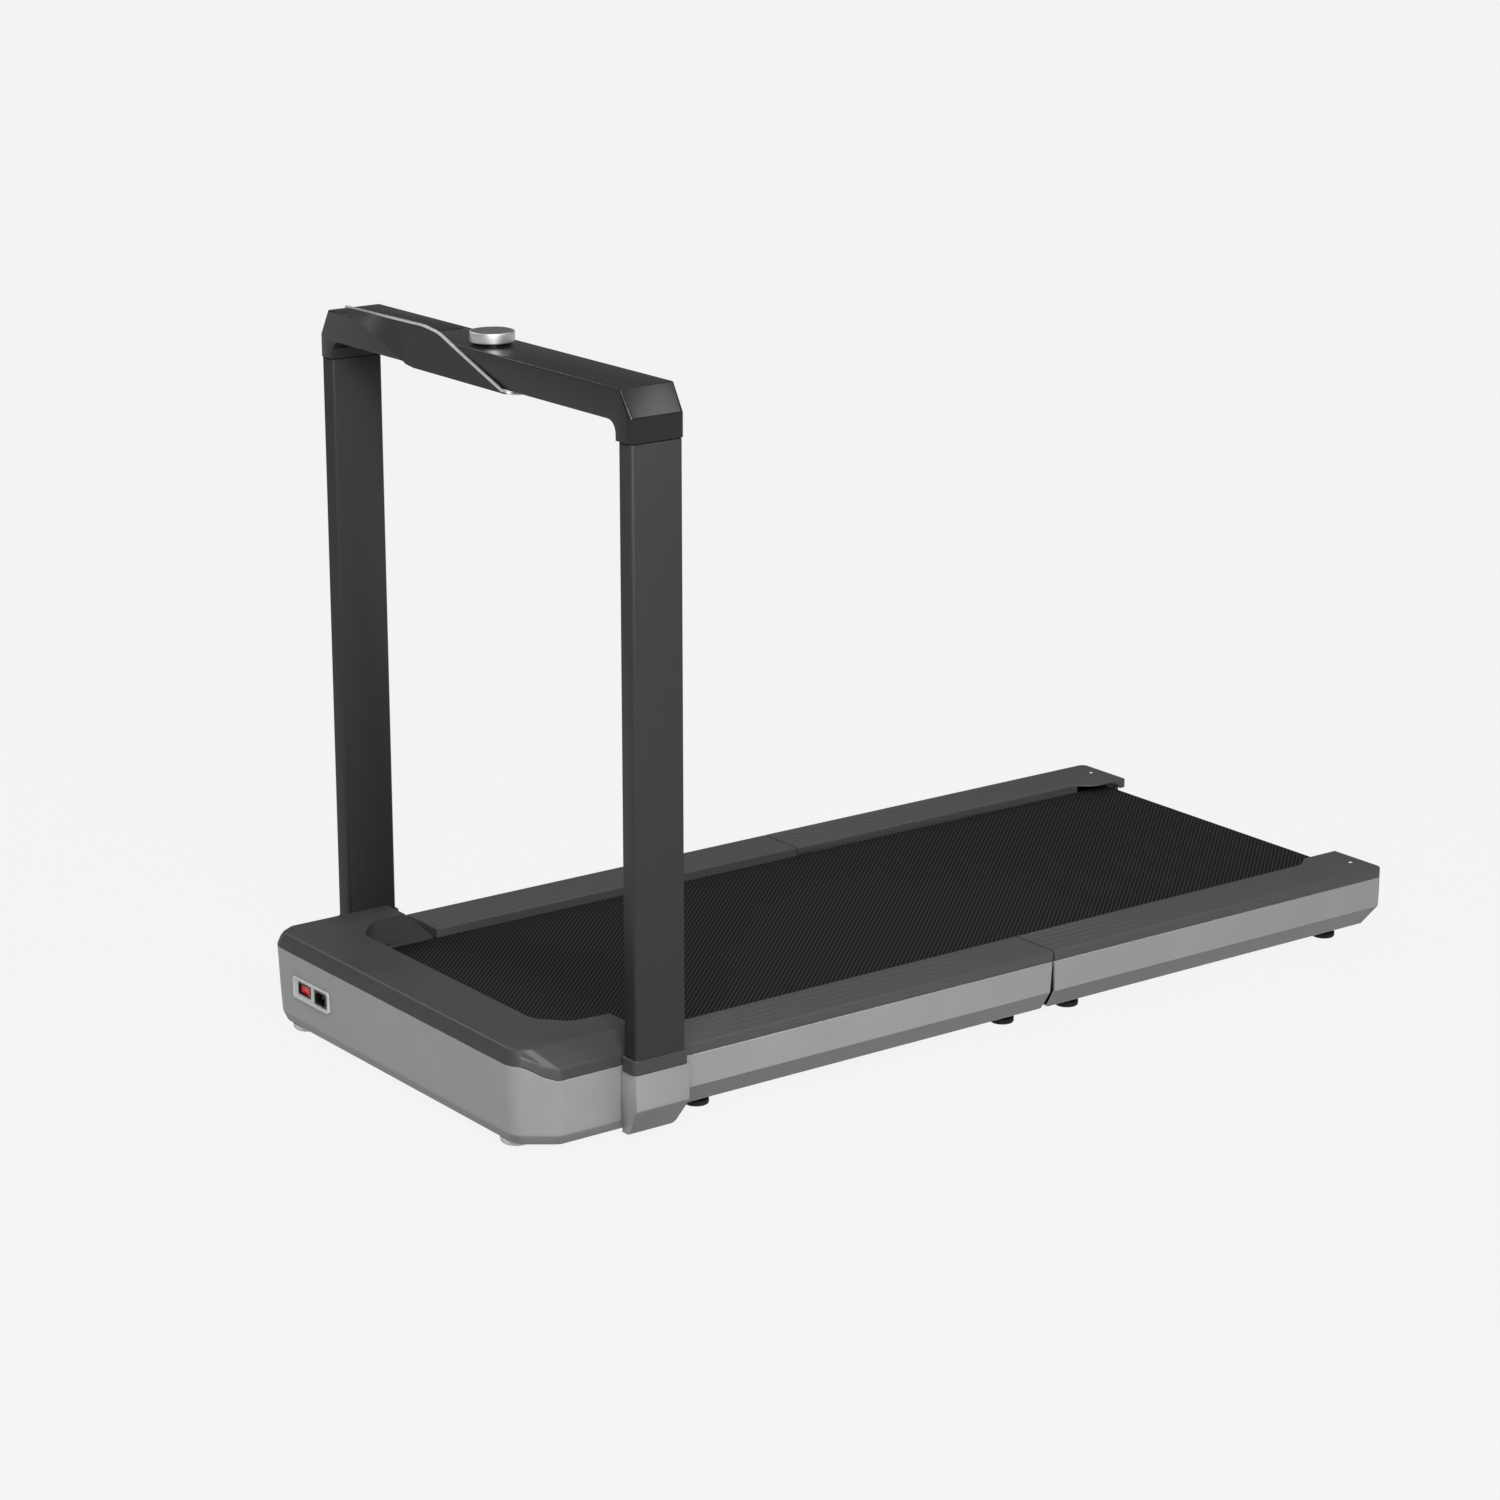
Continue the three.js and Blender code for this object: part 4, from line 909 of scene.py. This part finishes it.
# Console: a thin twisted skin between its rim and its foot, with a metal strip on the rim.
CONSOLE_START, CONSOLE_END = -339, 97
RIM = [(CONSOLE_START, 169, 963.5), (-102, 142.8, 975), (-62, 140.6, 971.4), (-36.6, 139.5, 962.8),
       (CONSOLE_END, 136, 918.5)]
FOOT = [(CONSOLE_START, 169, 962.6), (-282, 141.2, 962.3), (-150, 141.2, 921), (-143, 140, 919),
        (-121, 138, 917.5), (CONSOLE_END, 136, 917.5)]
rim_path = eased(RIM, 16)


def along(path, x):
    """The point of a path at one place across the machine."""
    for first, second in zip(path, path[1:]):
        if first[0] <= x <= second[0]:
            share = (x - first[0]) / (second[0] - first[0])
            return tuple(a + (b - a) * share for a, b in zip(first, second))
    return path[-1]


def console_section(x):
    """The rim and foot points of the console at one place along the bar."""
    top_point, foot_point = Vector(along(rim_path, x)), Vector(along(FOOT, x))
    top_point.z -= 0.4
    if top_point.z < foot_point.z + 0.3:
        foot_point.z = top_point.z - 0.3
    return top_point, foot_point


def console_ring(x):
    """The skin's section at one place: down its front face and back up behind it."""
    top_point, foot_point = console_section(x)
    front = [tuple(top_point.lerp(foot_point, share)) for share in (0, 0.04, 0.25, 0.5, 0.75, 0.96, 1)]
    behind = [top_point.lerp(foot_point, share) + Vector((0, CONSOLE_SKIN, 0)) for share in (1, 0.5, 0)]
    return front + [tuple(point) for point in behind]


even = {CONSOLE_START + (CONSOLE_END - CONSOLE_START) * i / 60 for i in range(61)}
stops = sorted({point[0] for point in rim_path} | {point[0] for point in FOOT} | even)
panel = loft("look_console_panel", [console_ring(x) for x in stops])
finish_piece(panel, "handrail", PANEL, ["console_panel"], 24)


def room_section(x):
    """What the console's skin takes from the bar's front top edge at one place."""
    top_point, foot_point = console_section(x)
    high = top_point + (top_point - foot_point) * (22 / (top_point - foot_point).length)
    return [(x, high.y + 1.5, high.z), (x, foot_point.y + 1.5, foot_point.z), (x, 110, foot_point.z),
            (x, 110, high.z)]


def arch(drawn, foot):
    """Outline (x, z) of the bar with its end caps, drawn in by an amount, down to the height of its feet."""
    half, inner, under = HALF_WIDTH - drawn, CAP_INNER + drawn, BAR_UNDERSIDE + drawn
    shoulder, top_half, top = CAP_SHOULDER - 0.3 * drawn, CAP_TOP_HALF - 0.5 * drawn, BAR_TOP - drawn
    return [
        (-half, foot), (-half, shoulder, 6), (-top_half, top, 3), (top_half, top, 3), (half, shoulder, 6),
        (half, foot), (inner, foot), (inner, under, 16), (-inner, under, 16), (-inner, foot),
    ]


def edge_round(x):
    """Rounding of the bar's front and rear edges: small along the bar, larger round its outer corners."""
    return 1.7 + 4.3 * max(0.0, min(1.0, (abs(x) - 336) / 14))


def crossbar_rings():
    points = anticlockwise(outline(arch(0, CAP_BOTTOM - 17), 6))
    radii = [edge_round(x) for x, _ in points]

    def face_ring(face, inward, turn):
        drawn = inset(points, [radius * (1 - math.sin(turn)) for radius in radii])
        return [(x, face + inward * radius * (1 - math.cos(turn)), z) for (x, z), radius in zip(drawn, radii)]

    front = [face_ring(BAR_FRONT, 1, turn) for turn in quarter_turn(5)]
    rear = [face_ring(BAR_REAR, -1, turn) for turn in quarter_turn(5)]
    return front + rear[::-1]


crossbar = loft("look_crossbar", crossbar_rings())
bar_hollow = prism("tool", "y", arch(BAR_WALL, 860), BAR_FRONT + BAR_WALL, BAR_REAR - BAR_WALL, 6)
below_caps = cuboid((-400, 400), (100, 260), (860, CAP_BOTTOM))
console_room = loft("tool", [
    room_section(x) for x in (-281, -260, -240, -220, -200, -180, -160, -140, -120, -102, -80, -62, -40)
])
cut(crossbar, bar_hollow, below_caps, console_room)
finish_piece(crossbar, "handrail", BAR, ["crossbar"])

strip_path = eased(RIM + [(103, 157.4, 917)], 12, 8)
strip_section = outline([(-2.6, -1.7, 0.5), (0.8, -1.7, 0.5), (0.8, 1.4, 0.5), (-2.6, 1.4, 0.5)], 3)


def strip_ring(i):
    """The strip's section at one point of its path: it faces forward, and sideways round its tail."""
    last = len(strip_path) - 1
    in_tail = i > last - 5
    ahead = (Vector(strip_path[min(i + 1, last)]) - Vector(strip_path[max(i - 1, 0)])).normalized()
    facing = Vector((1, 0, 0)) if in_tail else Vector((0, -1, 0))
    outward = (facing - ahead * ahead.dot(facing)).normalized()
    upward = outward.cross(ahead).normalized()
    if upward.z < 0 and not in_tail:
        upward = -upward
    return [tuple(Vector(strip_path[i]) + outward * a + upward * b) for a, b in strip_section]


strip = loft("look_console_trim", [strip_ring(i) for i in range(len(strip_path))])
finish_piece(strip, "handrail", TRIM, ["console_trim"])

lens = slab("look_display_lens", "z", panel_corners((-325, -118, 177, 216), 0, 6), 961.5, 962.6, 0, 0.4, 8)
finish_piece(lens, "handrail", GLASS, ["display_lens"])


# ---------------------------------------------------------------- knob
def knob_piece(name, profile, body, material, sides=128, sharp=30):
    piece = turned("look_" + name, "z", profile, (0, UPRIGHT_Y, 0), sides)
    finish_piece(piece, body, material, [name], sharp)


knob_piece("knob_base", [(0, 962.3), (24, 962.3), (24, 965.2), (0, 965.2)], "handrail", GLOSS_BLACK,
           96, 38)
knob_piece("knob_ring", [
    (0, 965.5), (27.6, 965.5), (28.4, 965.7), (28.9, 966.3), (29, 967.2), (29, 977.4), (28.8, 978.3),
    (28.3, 978.9), (27.6, 979.2), (27.1, 979.1), (26.8, 978.6), (26.8, 969.5), (0, 969.5),
], "knob", RING)
knob_piece("knob_button", [
    (0, 972.2), (25.8, 972.2), (26.2, 972.6), (26.2, 978.0), (25.9, 978.8), (25.2, 979.3), (24.2, 979.5),
    (12, 979.5), (0, 979.5),
], "knob_button", KNOB_FACE)

# ---------------------------------------------------------------- CAD nodes that keep their shape
KEPT = {
    "front_frame": BLACK_STEEL, "rear_frame": BLACK_STEEL,
    "front_deck_board": BOARD, "rear_deck_board": BOARD,
    "motor": MOTOR, "motor_pulley": STEEL, "drive_belt": RUBBER, "motor_controller": SATIN_BLACK,
    "front_roller": STEEL, "rear_roller": STEEL, "front_roller_pulley": BLACK_STEEL,
    "pivot_pin_left": STEEL, "pivot_pin_right": STEEL,
    "hinge_arm_left": BLACK_STEEL, "hinge_arm_right": BLACK_STEEL,
    "corner_spigot_left": SATIN_BLACK, "corner_spigot_right": SATIN_BLACK,
    "transport_wheel_left": RUBBER, "transport_wheel_right": RUBBER,
    "rear_roller_bracket_left": SATIN_BLACK, "rear_roller_bracket_right": SATIN_BLACK,
}
for name, material in KEPT.items():
    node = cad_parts[name]
    node.data.materials.clear()
    node.data.materials.append(material)

# ---------------------------------------------------------------- studio
floor_mesh = bpy.data.meshes.new("floor")
floor_mesh.from_pydata([(-30, -30, 0), (30, -30, 0), (30, 30, 0), (-30, 30, 0)], [], [(0, 1, 2, 3)])
floor = bpy.data.objects.new("floor", floor_mesh)
bpy.context.scene.collection.objects.link(floor)
floor_look = Nodes("floor", (0.012, 0.012, 0.012), 0.9)
floor_look.surface.inputs["Specular IOR Level"].default_value = 0
floor_look.surface.inputs["Emission Color"].default_value = (1, 1, 1, 1)
floor_look.surface.inputs["Emission Strength"].default_value = 0.888
floor_mesh.materials.append(floor_look.material)


def studio_sky(levels):
    """A grey dome whose brightness depends on height: (sine of elevation, level) pairs."""
    world = bpy.data.worlds.new("studio")
    world.use_nodes = True
    tree = world.node_tree
    direction = tree.nodes.new("ShaderNodeTexCoord")
    parts = tree.nodes.new("ShaderNodeSeparateXYZ")
    ramp = tree.nodes.new("ShaderNodeValToRGB")
    tree.links.new(direction.outputs["Generated"], parts.inputs["Vector"])
    tree.links.new(parts.outputs["Z"], ramp.inputs["Fac"])
    tree.links.new(ramp.outputs["Color"], tree.nodes["Background"].inputs["Color"])
    stops = ramp.color_ramp.elements
    while len(stops) < len(levels):
        stops.new(0.5)
    for stop, (height, level) in zip(stops, levels):
        stop.position = height
        stop.color = (level, level, level, 1)
    tree.nodes["Background"].inputs["Strength"].default_value = 1.0
    bpy.context.scene.world = world


studio_sky([(0.0, 0.2), (0.3, 0.12), (0.5, 0.25), (0.8, 0.7)])
bpy.context.scene.view_settings.view_transform = "Standard"


def softbox(name, azimuth, elevation, distance, size, watts, aim=(0, -0.1, 0.35)):
    """A soft rectangular light, placed by the direction it shines from: azimuth 0 is the front."""
    light = bpy.data.lights.new(name, "AREA")
    light.shape = "RECTANGLE"
    light.size, light.size_y = size
    light.energy = watts
    obj = bpy.data.objects.new(name, light)
    turn, lift = math.radians(azimuth), math.radians(elevation)
    away = Vector((math.sin(turn) * math.cos(lift), -math.cos(turn) * math.cos(lift), math.sin(lift)))
    obj.location = Vector(aim) + away * distance
    obj.rotation_euler = away.to_track_quat("Z", "Y").to_euler()
    bpy.context.scene.collection.objects.link(obj)


softbox("key_light", 58, 33, 4.0, (2.0, 1.6), 205)
softbox("chamfer_light", 136, 37, 3.6, (1.3, 0.9), 27, (0.36, -0.56, 0.94))
softbox("edge_light", -70, 35, 4.0, (1.3, 0.7), 46, (0, -0.6, 0.96))
